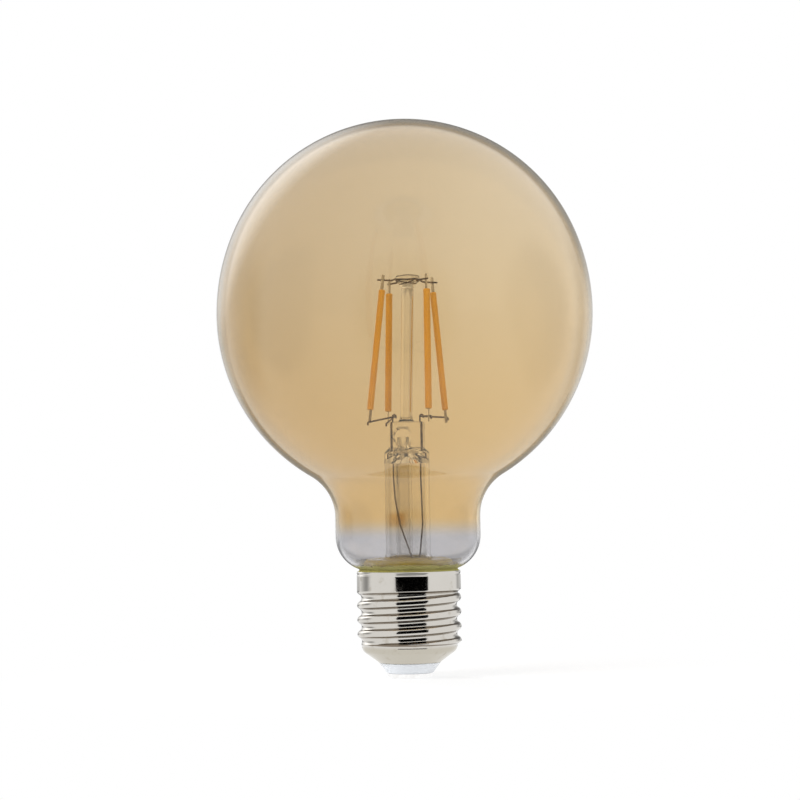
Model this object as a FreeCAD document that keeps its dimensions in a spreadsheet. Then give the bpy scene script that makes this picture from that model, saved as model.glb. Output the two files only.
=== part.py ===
import FreeCAD, Part
import Sketcher
import math
import os

# Globe lamp with four LED filaments and a screw cap, in millimetres.
# The origin is the centre of the contact's lower face, +Z runs up through the globe.

SIZES = {
    # Centre contact and insulator, from the foot of the lamp up
    "contact_radius": 5.6,
    "contact_thickness": 1.2,
    "contact_round": 0.5,
    "pin_radius": 1.9,
    "pin_length": 1.4,
    "insulator_foot_radius": 6.1,
    "insulator_step_height": 2.6,
    "insulator_depth": 2.4,
    "insulator_fit": 0.05,
    # Screw cap
    "lip_radius": 7.8,
    "cone_height": 4.1,
    "cone_round": 2.0,
    "crest_radius": 13.1,
    "thread_pitch": 3.629,
    "thread_depth": 1.096,
    "thread_length": 14.3,
    "first_crest_height": 1.26,
    "runout_length": 1.2,
    "skirt_length": 4.55,
    "shell_wall": 0.3,
    # Seal between globe and stem, and the cement round it
    "mouth_depth": 1.75,
    "mouth_gap": 0.8,
    "seal_gap": 0.1,
    "cement_depth": 1.9,
    "cement_bore": 6.2,
    "cement_gap": 0.05,
    # Blown glass globe and neck
    "mouth_length": 1.83,
    "mouth_fillet": 0.6,
    "shoulder_width": 6.0,
    "shoulder_round": 8.8,
    "neck_length": 4.8,
    "neck_fillet": 12.0,
    "globe_radius": 47.5,
    "globe_wall": 0.8,
    "crown_stretch_height": 1.6,
    "crown_side_excess": 4.5,
    # Stem: flare, tube and press
    "stem_wall": 0.95,
    "stem_radius": 5.7,
    "bell_height": 4.5,
    "flare_round": 1.6,
    "flare_fillet": 1.4,
    "tube_length": 24.1,
    "press_shoulder_height": 4.2,
    "press_length": 6.5,
    "press_width": 9.2,
    "press_thickness": 3.8,
    "press_round": 0.5,
    # Exhaust tube and its port in the press
    "exhaust_radius": 2.1,
    "exhaust_wall": 0.6,
    "exhaust_offset": 0.9,
    "exhaust_depth": 2.8,
    "exhaust_tip_gap": 2.6,
    "port_rise_height": 2.6,
    "port_radius": 2.1,
    "glass_fit": 0.05,
    # Leads and the bars that they carry
    "lead_radius": 0.2,
    "lead_spacing": 3.45,
    "lead_bend": 1.6,
    "lead_clearance": 0.75,
    "lead_sway_width": 0.3,
    "lead_flare_offset": 1.0,
    "lead_pass_length": 9.0,
    "lead_pass_offset": 1.9,
    "lead_ease_length": 6.5,
    "lead_ease_offset": 3.0,
    "lead_straight_length": 6.0,
    "hook_bend": 0.43,
    "hook_length": 0.5,
    "bar_radius": 0.22,
    "bar_gap": 1.3,
    "left_bar_drop": 1.3,
    "right_bar_drop": 0.2,
    "bar_end_length": 1.1,
    "bar_hook_length": 0.8,
    "wire_bend": 0.7,
    "weld_gap": 0.03,
    # Filaments
    "filament_count": 4,
    "foot_spread": 10.77,
    "foot_turn": 28.1,
    "foot_offset": 0.49,
    "foot_gap": 1.6,
    "filament_height": 30.2,
    "head_spread": 8.0,
    "head_turn": 33.8,
    "coating_width": 1.75,
    "coating_thickness": 1.5,
    "coating_round": 0.4,
    "strip_width": 0.8,
    "strip_thickness": 0.35,
    "strip_fit": 0.02,
    "die_count": 28,
    "die_length": 0.6,
    "die_width": 0.4,
    "die_height": 0.12,
    "tab_width": 0.9,
    "tab_thickness": 0.2,
    "head_tab_length": 3.8,
    "foot_tab_length": 3.2,
    # Bridge wires, and the rod whose button grips them
    "bridge_gap": 2.45,
    "bridge_wire_radius": 0.22,
    "bridge_arch_height": 0.4,
    "bridge_offset": 0.88,
    "bridge_end_length": 1.2,
    "bridge_slope_length": 1.0,
    "rod_radius": 1.52,
    "rod_foot_radius": 2.1,
    "rod_foot_height": 0.9,
    "button_depth": 1.65,
    "button_radius": 3.1,
    "button_flare_height": 1.7,
    "button_side_height": 0.7,
    "button_round": 0.8,
    # Driver in the cap
    "feed_height": 2.4,
    "feed_radius": 0.3,
    "feed_bend": 0.9,
    "resistor_radius": 1.3,
    "resistor_length": 5.4,
    "resistor_offset": 5.2,
    "resistor_lead": 0.3,
    "resistor_gap": 1.0,
    "board_thickness": 1.0,
    "board_gap": 0.35,
    "capacitor_radius": 3.15,
    "capacitor_length": 8.0,
    "capacitor_gap": 0.3,
    "capacitor_lead": 0.25,
    "capacitor_pitch": 2.5,
    "rectifier_length": 4.7,
    "rectifier_width": 3.9,
    "rectifier_height": 2.4,
    "chip_length": 4.5,
    "chip_width": 2.5,
    "chip_height": 1.5,
    "leg_width": 0.6,
    "leg_length": 1.0,
    "leg_thickness": 0.25,
    "sense_length": 2.0,
    "sense_width": 1.25,
    "sense_height": 0.55,
    "neutral_angle": 25.0,
    "neutral_gap": 0.1,
}

# Places and sizes that follow from the ones above, each from the pieces that it rests on
PLACES = {
    "lip_height": "contact_thickness + insulator_step_height",
    "insulator_top": "lip_height + insulator_depth",
    "pin_top": "insulator_top + pin_length",
    "thread_foot": "lip_height + cone_height",
    "thread_head": "thread_foot + thread_length",
    "thread_phase": "thread_foot + first_crest_height",
    "thread_round": "((thread_pitch / 4)^2 + (thread_depth / 2)^2) / thread_depth",
    "root_radius": "crest_radius - thread_depth",
    "skirt_rim": "thread_head + skirt_length",
    "seal_height": "skirt_rim - mouth_depth",
    "cement_foot": "seal_height - cement_depth",
    "mouth_radius": "crest_radius - mouth_gap",
    "mouth_height": "seal_height + mouth_length",
    "neck_radius": "mouth_radius + shoulder_width",
    "shoulder_centre": "neck_radius - shoulder_round",
    "mouth_far": "mouth_radius + mouth_fillet",
    "neck_far": "neck_radius + neck_fillet",
    "shoulder_reach": "shoulder_round + mouth_fillet",
    "globe_reach": "globe_radius + neck_fillet",
    "shoulder_height": "mouth_height + sqrt(shoulder_reach^2 - (mouth_far - shoulder_centre)^2)",
    "neck_height": "shoulder_height + neck_length",
    "globe_height": "neck_height + sqrt(globe_reach^2 - neck_far^2)",
    "crown_rise": "globe_radius + crown_stretch_height",
    "crown_side_radius": "globe_radius + crown_side_excess",
    "flare_height": "seal_height + bell_height",
    "tube_top": "flare_height + tube_length",
    "press_foot": "tube_top + press_shoulder_height",
    "press_top": "press_foot + press_length",
    "exhaust_top": "tube_top + exhaust_depth",
    "port_height": "press_foot + port_rise_height",
    "lead_pass_height": "flare_height + lead_pass_length",
    "lead_ease_height": "lead_pass_height + lead_ease_length",
    "lead_straight_height": "lead_ease_height + lead_straight_length",
    "bar_height": "press_top + bar_gap",
    "hook_top": "bar_height + bar_radius + lead_radius + 2 * weld_gap",
    "foot_height": "bar_height + foot_gap",
    "head_height": "foot_height + filament_height",
    "bridge_height": "head_height + bridge_gap",
    "rod_top": "bridge_height - button_depth",
    "resistor_foot": "pin_top + feed_height + 2 * resistor_lead",
    "board_foot": "resistor_foot + resistor_length + resistor_gap",
    "board_top": "board_foot + board_thickness",
    "exhaust_tip": "board_top + exhaust_tip_gap",
    "capacitor_offset": "pin_radius + capacitor_radius + capacitor_gap",
}

# Rings of the rolled shell: poles round each ring, and rows along each stretch of its wall
RING_POLES = 32
ROWS_PER_TURN = 10
ARC_ROWS = 6
LINE_ROWS = 3

# How near two places or volumes are when they count as the same, and the sewing's reach
NEAR = 0.01
SEW_REACH = 1e-5

doc = FreeCAD.newDocument("globe_bulb")
sheet = doc.addObject("Spreadsheet::Sheet", "Sizes")
for row, (alias, number) in enumerate(SIZES.items(), start=1):
    sheet.set(f"A{row}", alias)
    sheet.set(f"B{row}", str(number))
    sheet.setAlias(f"B{row}", alias)
doc.recompute()
for row, (alias, formula) in enumerate(PLACES.items(), start=len(SIZES) + 1):
    sheet.set(f"A{row}", alias)
    sheet.set(f"B{row}", "=" + formula)
    sheet.setAlias(f"B{row}", alias)
    doc.recompute()


class Size:
    """A size of the lamp: its number, and the sheet formula that it comes from."""

    def __init__(self, number, formula):
        self.number = float(number)
        self.formula = formula

    def __float__(self):
        return self.number

    def __add__(self, other):
        other = as_size(other)
        return Size(self.number + other.number, f"({self.formula} + {other.formula})")

    def __radd__(self, other):
        return as_size(other) + self

    def __sub__(self, other):
        other = as_size(other)
        return Size(self.number - other.number, f"({self.formula} - {other.formula})")

    def __rsub__(self, other):
        return as_size(other) - self

    def __mul__(self, other):
        other = as_size(other)
        return Size(self.number * other.number, f"({self.formula} * {other.formula})")

    def __rmul__(self, other):
        return as_size(other) * self

    def __truediv__(self, other):
        other = as_size(other)
        return Size(self.number / other.number, f"({self.formula} / {other.formula})")

    def __neg__(self):
        return 0 - self


def as_size(value):
    return value if isinstance(value, Size) else Size(value, repr(float(value)))


def size(alias):
    return Size(sheet.get(alias), f"Sizes.{alias}")


def bind(feature, field, value):
    """Ties one field of a feature to the sheet."""
    feature.setExpression(field, as_size(value).formula)


# Sketches and bodies

def new_body(label):
    body = doc.addObject("PartDesign::Body", label)
    body.Label = label
    return body


def new_sketch(body, name, role, height=None):
    """A sketch on one of the body's own origin planes, or parallel to it at a height."""
    sketch = body.newObject("Sketcher::SketchObject", name)
    plane = next(item for item in body.Origin.OriginFeatures if item.Role == role)
    sketch.AttachmentSupport = [(plane, "")]
    sketch.MapMode = "FlatFace"
    if height is not None:
        bind(sketch, "AttachmentOffset.Base.z", height)
    return sketch


def pin_point(sketch, edge, end, across, up):
    """Holds one end of an edge at its place, on an axis where the place is zero."""
    places = (("DistanceX", across, -2), ("DistanceY", up, -1))
    for kind, place, axis in places:
        place = as_size(place)
        if place.number == 0:
            sketch.addConstraint(Sketcher.Constraint("PointOnObject", edge, end, axis))
            continue
        index = sketch.addConstraint(
            Sketcher.Constraint(kind, -1, 1, edge, end, place.number)
        )
        sketch.setExpression(f"Constraints[{index}]", place.formula)


def draw_outline(sketch, corners):
    """Draws a closed outline. A corner is (across, up) at the end of a straight edge, or
    (across, up, radius, centre across, centre up) at the end of an arc."""
    points = [FreeCAD.Vector(float(corner[0]), float(corner[1]), 0) for corner in corners]
    ends = []
    for number, corner in enumerate(corners):
        start, stop = points[number - 1], points[number]
        if len(corner) == 2:
            sketch.addGeometry(Part.LineSegment(start, stop), False)
            ends.append((1, 2))
            continue
        centre = FreeCAD.Vector(float(corner[3]), float(corner[4]), 0)
        first, last = start - centre, stop - centre
        middle = (first + last).normalize() * float(corner[2]) + centre
        sketch.addGeometry(Part.Arc(start, middle, stop), False)
        anticlockwise = first.cross(last).z > 0
        ends.append((1, 2) if anticlockwise else (2, 1))
    for number, corner in enumerate(corners):
        following = (number + 1) % len(corners)
        sketch.addConstraint(
            Sketcher.Constraint("Coincident", number, ends[number][1], following, ends[following][0])
        )
        pin_point(sketch, number, ends[number][1], corner[0], corner[1])
        if len(corner) > 2:
            radius = as_size(corner[2])
            index = sketch.addConstraint(Sketcher.Constraint("Radius", number, radius.number))
            sketch.setExpression(f"Constraints[{index}]", radius.formula)


def draw_circle(sketch, across, up, radius):
    number = sketch.GeometryCount
    centre = FreeCAD.Vector(float(across), float(up), 0)
    sketch.addGeometry(Part.Circle(centre, FreeCAD.Vector(0, 0, 1), float(radius)), False)
    pin_point(sketch, number, 3, across, up)
    index = sketch.addConstraint(Sketcher.Constraint("Radius", number, float(radius)))
    sketch.setExpression(f"Constraints[{index}]", as_size(radius).formula)


def turn(body, name, corners, kind="PartDesign::Revolution"):
    """Turns an outline of (radius, height) corners about the vertical axis."""
    sketch = new_sketch(body, name + "_outline", "XZ_Plane")
    draw_outline(sketch, corners)
    feature = body.newObject(kind, name)
    feature.Profile = sketch
    feature.ReferenceAxis = (sketch, ["V_Axis"])
    feature.Angle = 360
    return feature


def turned_piece(label, corners):
    body = new_body(label)
    turn(body, label + "_turned", corners)
    return body


def block(label, length, width, height, left, front, bottom):
    """A rectangular block with its lowest corner at (left, front, bottom)."""
    box = doc.addObject("Part::Box", label)
    for field, value in (("Length", length), ("Width", width), ("Height", height)):
        bind(box, field, value)
    for field, value in (("x", left), ("y", front), ("z", bottom)):
        bind(box, "Placement.Base." + field, value)
    return box


def rod(label, radius, height, across, along, bottom):
    """An upright cylinder that stands on (across, along, bottom)."""
    cylinder = doc.addObject("Part::Cylinder", label)
    bind(cylinder, "Radius", radius)
    bind(cylinder, "Height", height)
    for field, value in (("x", across), ("y", along), ("z", bottom)):
        bind(cylinder, "Placement.Base." + field, value)
    return cylinder


def joined(label, pieces):
    fuse = doc.addObject("Part::MultiFuse", label)
    fuse.Shapes = pieces
    return fuse


def less(label, base, tool):
    cut = doc.addObject("Part::Cut", label)
    cut.Base = base
    cut.Tool = tool
    return cut


def shaped(label, shape, placement=None):
    feature = doc.addObject("Part::Feature", label)
    feature.Shape = shape
    if placement is not None:
        feature.Placement = placement
    return feature


def bent_wire(points, bends, radius):
    """A round wire along straight runs that are joined by tangent arcs, one bend radius each."""
    edges = []
    start = points[0]
    for before, corner, after, bend in zip(points, points[1:], points[2:], bends):
        back = (before - corner).normalize()
        ahead = (after - corner).normalize()
        half = back.getAngle(ahead) / 2
        reach = bend / math.tan(half)
        inward = (back + ahead).normalize()
        middle = corner + inward * (bend / math.sin(half) - bend)
        arrive = corner + back * reach
        leave = corner + ahead * reach
        edges.append(Part.LineSegment(start, arrive).toShape())
        edges.append(Part.Arc(arrive, middle, leave).toShape())
        start = leave
    edges.append(Part.LineSegment(start, points[-1]).toShape())
    direction = points[1] - points[0]
    section = Part.Wire([Part.makeCircle(radius, points[0], direction)])
    return Part.Wire(edges).makePipeShell([section], True, False)


# Globe: one blown wall, from the crown down to the mouth that is sealed to the stem

def globe_outline(inset):
    """One side of the wall, from its pole to its mouth, with the arcs' centres kept."""
    side = size("crown_side_radius")
    side_shift = side - size("globe_radius")
    slack = side - size("crown_rise")
    lift = (side_shift * side_shift - slack * slack) / (2 * slack)
    crown = size("crown_rise") - lift
    height = size("globe_height")
    crown_centre = height + lift
    share = side / (side - crown)
    meet_across = side_shift * (share - 1)
    meet_up = lift * share
    pull = (side - inset) / side
    neck_height = size("neck_height")
    neck_far = size("neck_far")
    ball = size("globe_radius") - inset
    ball_part = ball / size("globe_reach")
    shoulder_height = size("shoulder_height")
    shoulder_centre = size("shoulder_centre")
    shoulder = size("shoulder_round") - inset
    low_part = shoulder / size("shoulder_reach")
    mouth_height = size("mouth_height")
    mouth_far = size("mouth_far")
    return [
        (0, crown_centre + crown - inset),
        (
            meet_across * pull - side_shift * (1 - pull),
            height + meet_up * pull,
            crown - inset,
            0,
            crown_centre,
        ),
        (ball, height, side - inset, -side_shift, height),
        (
            neck_far * ball_part,
            height - (height - neck_height) * ball_part,
            ball,
            0,
            height,
        ),
        (
            size("neck_radius") - inset,
            neck_height,
            size("neck_fillet") + inset,
            neck_far,
            neck_height,
        ),
        (size("neck_radius") - inset, shoulder_height),
        (
            shoulder_centre + (mouth_far - shoulder_centre) * low_part,
            shoulder_height - (shoulder_height - mouth_height) * low_part,
            shoulder,
            shoulder_centre,
            shoulder_height,
        ),
        (
            size("mouth_radius") - inset,
            mouth_height,
            size("mouth_fillet") + inset,
            mouth_far,
            mouth_height,
        ),
        (size("mouth_radius") - inset, size("seal_height")),
    ]


def reversed_outline(corners):
    """The same outline drawn from its last corner back to its first."""
    back = []
    for corner, following in zip(reversed(corners), [None] + list(reversed(corners))):
        arc = following[2:] if following is not None else ()
        back.append((corner[0], corner[1]) + tuple(arc))
    return back


def make_globe():
    outer = globe_outline(as_size(0))
    inner = reversed_outline(globe_outline(size("globe_wall")))
    return turned_piece("globe_envelope", outer + inner)


# Stem: flare, tube and press are one piece of glass

def stem_outline(outer):
    """The flared tube's outer side, or its bore, from the axis down to the foot."""
    inset = as_size(0) if outer else size("stem_wall")
    tube = size("stem_radius") - inset
    top = size("flare_height") - inset
    fillet = size("flare_fillet") + inset
    bell = size("mouth_radius") - size("globe_wall") - size("seal_gap") - inset
    bend = size("flare_round") - inset
    seal = size("seal_height")
    foot = seal - size("stem_wall")
    shaft = [
        (tube, top + fillet),
        (tube + fillet, top, fillet, tube + fillet, top + fillet),
        (bell - bend, top),
        (bell, top - bend, bend, bell - bend, top - bend),
    ]
    if outer:
        rim = size("mouth_radius")
        crown = [(0, size("tube_top")), (tube, size("tube_top"))]
        return crown + shaft + [(bell, seal), (rim, seal), (rim, foot), (0, foot)]
    roof = size("exhaust_top")
    vault = roof - (tube - size("exhaust_radius"))
    crown = [(0, roof), (size("exhaust_radius"), roof), (tube, vault)]
    below = foot - size("stem_wall")
    return crown + shaft + [(bell, below), (0, below)]


def draw_flat_bar(sketch, width, thickness):
    """The section of a flat bar whose narrow sides are half round."""
    half_width = width / 2
    half_thickness = thickness / 2
    flat = half_width - half_thickness
    draw_outline(
        sketch,
        [
            (flat, -half_thickness),
            (half_width, 0, half_thickness, flat, 0),
            (flat, half_thickness, half_thickness, flat, 0),
            (-flat, half_thickness),
            (-half_width, 0, half_thickness, -flat, 0),
            (-flat, -half_thickness, half_thickness, -flat, 0),
        ],
    )


def drill(body, name, role, height, holes, depth, reverse):
    """Round holes that are cut straight into the body."""
    sketch = new_sketch(body, name + "_outline", role, height)
    for across, up, radius in holes:
        draw_circle(sketch, across, up, radius)
    before = body.Shape.Volume
    pocket = body.newObject("PartDesign::Pocket", name)
    pocket.Profile = sketch
    bind(pocket, "Length", depth)
    pocket.Reversed = reverse
    doc.recompute()
    if body.Shape.Volume > before - NEAR:
        raise ValueError(name + " cuts nothing")
    return pocket


def make_stem():
    body = new_body("stem_flare")
    turn(body, "stem_tube", stem_outline(True))
    lower = new_sketch(body, "press_shoulder_outline", "XY_Plane", size("tube_top"))
    draw_circle(lower, 0, 0, size("stem_radius"))
    upper = new_sketch(body, "press_foot_outline", "XY_Plane", size("press_foot"))
    draw_flat_bar(upper, size("press_width"), size("press_thickness"))
    shoulder = body.newObject("PartDesign::AdditiveLoft", "press_shoulder")
    shoulder.Profile = lower
    shoulder.Sections = [upper]
    flat = new_sketch(body, "press_outline", "XY_Plane", size("press_foot"))
    draw_flat_bar(flat, size("press_width"), size("press_thickness"))
    press = body.newObject("PartDesign::Pad", "press")
    press.Profile = flat
    bind(press, "Length", size("press_top") - size("press_foot"))
    doc.recompute()
    top_edges = []
    for number, edge in enumerate(body.Shape.Edges, start=1):
        if edge.BoundBox.ZMin > float(size("press_top")) - NEAR:
            top_edges.append(f"Edge{number}")
    fillet = body.newObject("PartDesign::Fillet", "press_edge")
    fillet.Base = (press, top_edges)
    bind(fillet, "Radius", size("press_round"))
    doc.recompute()
    turn(body, "stem_bore", stem_outline(False), "PartDesign::Groove")
    doc.recompute()
    port = -size("exhaust_offset")
    socket = size("exhaust_radius") + size("glass_fit")
    passage = size("exhaust_radius") - size("exhaust_wall")
    rise = size("port_height") - size("exhaust_top")
    seat = size("exhaust_top")
    start = size("tube_top") - size("stem_radius")
    drill(body, "exhaust_socket", "XY_Plane", start, [(port, 0, socket)], seat - start, True)
    drill(body, "exhaust_passage", "XY_Plane", seat, [(port, 0, passage)], rise, True)
    front = [(port, size("port_height"), size("port_radius"))]
    drill(body, "exhaust_port", "XZ_Plane", None, front, size("press_thickness"), True)
    bore = size("lead_radius") + size("weld_gap")
    leads = [(side * size("lead_spacing"), 0, bore) for side in (-1, 1)]
    height = size("press_top") - start + size("press_round")
    drill(body, "lead_seals", "XY_Plane", start, leads, height, True)
    return body


def make_exhaust_tube():
    """Open at the top, drawn to a round closed tip at the bottom."""
    outer = size("exhaust_radius")
    inner = outer - size("exhaust_wall")
    tip = size("exhaust_tip")
    centre = tip + outer
    body = turned_piece(
        "exhaust_tube",
        [
            (0, tip),
            (outer, centre, outer, 0, centre),
            (outer, size("exhaust_top")),
            (inner, size("exhaust_top")),
            (inner, centre),
            (0, centre - inner, inner, 0, centre),
        ],
    )
    bind(body, "Placement.Base.x", -size("exhaust_offset"))
    return body


def ring(label, radius, across, height):
    circle = doc.addObject("Part::Circle", label)
    bind(circle, "Radius", radius)
    bind(circle, "Placement.Base.x", across)
    bind(circle, "Placement.Base.z", height)
    return circle


def make_support_rod(wire_tools):
    """A glass rod that leans a little, whose melted top is the button that grips the wires."""
    radius = size("rod_radius")
    foot = size("press_top")
    neck = size("rod_top")
    lean = size("bridge_offset")
    shank = doc.addObject("Part::Loft", "rod_shank")
    shank.Sections = [
        ring("rod_foot_ring", size("rod_foot_radius"), 0, foot),
        ring("rod_start_ring", radius, 0, foot + size("rod_foot_height")),
        ring("rod_neck_ring", radius, lean, neck),
    ]
    shank.Solid = True
    shank.Ruled = True
    flare = neck + size("button_flare_height")
    side = flare + size("button_side_height")
    button = size("button_radius")
    bend = size("button_round")
    melted = turned_piece(
        "rod_button",
        [
            (0, neck),
            (radius, neck),
            (button, flare),
            (button, side),
            (button - bend, side + bend, bend, button - bend, side),
            (0, side + bend),
        ],
    )
    bind(melted, "Placement.Base.x", lean)
    return less("support_rod", joined("rod_blank", [shank, melted]), wire_tools)


# Filament carrier: directions and places are worked out once and shared by all its pieces

def level(angle, radius=1.0, height=0.0):
    """A point at an angle in degrees about the vertical axis."""
    turned = math.radians(angle)
    return FreeCAD.Vector(radius * math.cos(turned), radius * math.sin(turned), height)


def number_of(alias):
    return float(size(alias))


def quarter(index):
    return 360.0 / number_of("filament_count") * index


def bridge_centre():
    height = number_of("bridge_height") + number_of("bridge_arch_height")
    return FreeCAD.Vector(number_of("bridge_offset"), 0, height)


def side_step(wire_radius):
    """From the middle of a tab to the middle of the wire that is welded on its face."""
    return wire_radius + number_of("tab_thickness") / 2 + number_of("weld_gap")


def filament_head(index):
    angle = number_of("head_turn") + quarter(index)
    aside = level(angle + 90, side_step(number_of("bridge_wire_radius")))
    out = level(angle, number_of("head_spread"), number_of("head_height"))
    return out + aside + FreeCAD.Vector(number_of("bridge_offset"), 0, 0)


def filament_foot(index):
    angle = number_of("foot_turn") + quarter(index)
    out = level(angle, number_of("foot_spread"), number_of("foot_height"))
    return out + FreeCAD.Vector(number_of("foot_offset"), 0, 0)


def side_of(index):
    """-1 for a filament that hangs on the left lead, 1 for the right lead."""
    return -1 if filament_foot(index).x < 0 else 1


def bar_touch():
    """From the middle of a lead to the middle of the bar that is welded on it."""
    return number_of("lead_radius") + number_of("bar_radius") + number_of("weld_gap")


def bar_opening(side):
    """The middle direction of a support bar's V seen from its lead, and half the V's angle."""
    arms = []
    for index in range(int(number_of("filament_count"))):
        if side_of(index) == side:
            foot = filament_foot(index)
            across = foot.x - side * number_of("lead_spacing")
            arms.append(FreeCAD.Vector(across, foot.y, 0).normalize())
    return (arms[0] + arms[1]).normalize(), arms[0].getAngle(arms[1]) / 2


def bar_corner(side):
    """The corner of a bar's path: the left V runs round its lead, the right V starts beside it."""
    lead = FreeCAD.Vector(side * number_of("lead_spacing"), 0, number_of("bar_height"))
    outward, half = bar_opening(side)
    tip = bar_touch() / math.sin(half)
    return lead + outward * ((side + 1) * bar_touch() - tip)


def bar_direction(index):
    """Along the arm of the bar that passes a filament's foot at one wire's distance."""
    corner = bar_corner(side_of(index))
    foot = filament_foot(index)
    flat = FreeCAD.Vector(foot.x - corner.x, foot.y - corner.y, 0)
    aside = math.degrees(math.asin(side_step(number_of("bar_radius")) / flat.Length))
    angle = math.degrees(math.atan2(flat.y, flat.x)) + aside
    drop = number_of("left_bar_drop" if foot.x < 0 else "right_bar_drop") / flat.Length
    return FreeCAD.Vector(level(angle).x, level(angle).y, -drop).normalize()


def make_bridge():
    """Two arched wires that cross in the button, and their bores in it."""
    centre = bridge_centre()
    down = FreeCAD.Vector(0, 0, -number_of("bridge_arch_height"))
    reach = number_of("head_spread") + number_of("bridge_end_length")
    grip = number_of("button_radius") + number_of("wire_bend")
    slope = grip + number_of("bridge_slope_length")
    radius = number_of("bridge_wire_radius")
    bore = radius + number_of("weld_gap")
    wires = []
    bores = []
    for index in range(int(number_of("filament_count")) // 2):
        out = level(number_of("head_turn") + quarter(index))
        path = [
            centre - out * reach + down,
            centre - out * slope + down,
            centre - out * grip,
            centre + out * grip,
            centre + out * slope + down,
            centre + out * reach + down,
        ]
        wires.append(bent_wire(path, [number_of("wire_bend")] * 4, radius))
        bores.append(Part.makeCylinder(bore, 2 * grip, centre - out * grip, out))
    cross = wires[0]
    for wire in wires[1:]:
        cross = cross.fuse(wire)
    tool = shaped("bridge_bores", bores[0].fuse(bores[1:]))
    return shaped("top_bridge_wire", cross.removeSplitter()), tool


def make_support_bar(label, side):
    """One wire bent to a V: its corner lies on the lead, its arms reach two filament feet."""
    corner = bar_corner(side)
    ends = []
    for index in range(int(number_of("filament_count"))):
        if side_of(index) != side:
            continue
        length = (filament_foot(index) - corner).Length + number_of("bar_end_length")
        ends.append(corner + bar_direction(index) * length)
    down = FreeCAD.Vector(0, 0, -number_of("bar_hook_length"))
    path = [ends[0] + down, ends[0], corner, ends[1], ends[1] + down]
    hook = number_of("hook_bend")
    return shaped(label, bent_wire(path, [hook, bar_touch(), hook], number_of("bar_radius")))


def make_lead(label, path, side):
    """The path goes on into a hook that closes over the bend of the lead's support bar."""
    outward = bar_opening(side)[0]
    start = FreeCAD.Vector(side * number_of("lead_spacing"), 0, number_of("hook_top"))
    over = start + outward * (2 * side * bar_touch())
    down = FreeCAD.Vector(0, 0, -number_of("hook_length") - bar_touch())
    hook = [start, over, over + down]
    bends = [number_of("lead_bend")] * (len(path) - 1) + [number_of("hook_bend")] * 2
    return shaped(label, bent_wire(path + hook, bends, number_of("lead_radius")))


def make_leads():
    """From the board, up past the exhaust tube, through the press to the support bars."""
    spacing = number_of("lead_spacing")
    board = number_of("board_top")
    touch = number_of("exhaust_radius") + number_of("lead_radius")
    clear = touch + number_of("lead_clearance")
    flare = number_of("flare_height")
    pass_height = number_of("lead_pass_height")
    straight = number_of("lead_straight_height")
    left = [
        FreeCAD.Vector(clear, -clear, board),
        FreeCAD.Vector(clear, -clear, number_of("cement_foot")),
        FreeCAD.Vector(number_of("lead_flare_offset"), -clear, flare),
        FreeCAD.Vector(-number_of("lead_pass_offset"), -clear, pass_height),
        FreeCAD.Vector(-number_of("lead_ease_offset"), -clear / 2, number_of("lead_ease_height")),
        FreeCAD.Vector(-spacing, 0, straight),
    ]
    sway = number_of("lead_sway_width")
    right = [
        FreeCAD.Vector(spacing - 2 * sway, 0, board),
        FreeCAD.Vector(spacing - 2 * sway, 0, flare),
        FreeCAD.Vector(spacing + sway, 0, pass_height),
        FreeCAD.Vector(spacing, 0, straight),
    ]
    return make_lead("left_lead_wire", left, -1), make_lead("right_lead_wire", right, 1)


# Filaments: each is made upright and then leaned from its foot to its head

def leaning(index):
    """The frame of a filament: origin at the coating's foot, local z up to its head."""
    foot, head = filament_foot(index), filament_head(index)
    up = (head - foot).normalize()
    out = FreeCAD.Vector(foot.x, foot.y, 0)
    out = (out - up * out.dot(up)).normalize()
    across = out.cross(up)
    return FreeCAD.Placement(foot, FreeCAD.Rotation(across, out, up, "ZXY"))


def coating_length(index):
    return (filament_head(index) - filament_foot(index)).Length


def make_coating(index):
    """A bar of phosphor with round sides and ends, open along its middle for the strip."""
    body = new_body(f"filament_{index + 1}_coating")
    section = new_sketch(body, f"coating_section_{index + 1}", "XY_Plane")
    draw_flat_bar(section, size("coating_width"), size("coating_thickness"))
    bar = body.newObject("PartDesign::Pad", f"coating_bar_{index + 1}")
    bar.Profile = section
    bar.Length = coating_length(index)
    doc.recompute()
    ends = []
    for number, edge in enumerate(body.Shape.Edges, start=1):
        if edge.BoundBox.ZLength < NEAR:
            ends.append(f"Edge{number}")
    soft = body.newObject("PartDesign::Fillet", f"coating_ends_{index + 1}")
    soft.Base = (bar, ends)
    bind(soft, "Radius", size("coating_round"))
    slot = new_sketch(body, f"coating_slot_{index + 1}", "XY_Plane")
    fit = size("strip_fit")
    side = size("strip_width") / 2 + fit
    back = -size("strip_thickness") / 2 - fit
    front = size("strip_thickness") / 2 + size("die_height") + fit
    draw_outline(slot, [(side, back), (side, front), (-side, front), (-side, back)])
    doc.recompute()
    before = body.Shape.Volume
    cut = body.newObject("PartDesign::Pocket", f"coating_channel_{index + 1}")
    cut.Profile = slot
    cut.Reversed = True
    cut.Length = coating_length(index)
    doc.recompute()
    if body.Shape.Volume > before - NEAR:
        raise ValueError("the coating has no channel")
    body.Placement = leaning(index)
    return body


def make_strip(index):
    strip = doc.addObject("Part::Box", f"filament_{index + 1}_strip")
    bind(strip, "Length", size("strip_width"))
    bind(strip, "Width", size("strip_thickness"))
    strip.Height = coating_length(index)
    corner = FreeCAD.Vector(-number_of("strip_width") / 2, -number_of("strip_thickness") / 2, 0)
    strip.Placement = leaning(index).multiply(FreeCAD.Placement(corner, FreeCAD.Rotation()))
    return strip


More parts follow.
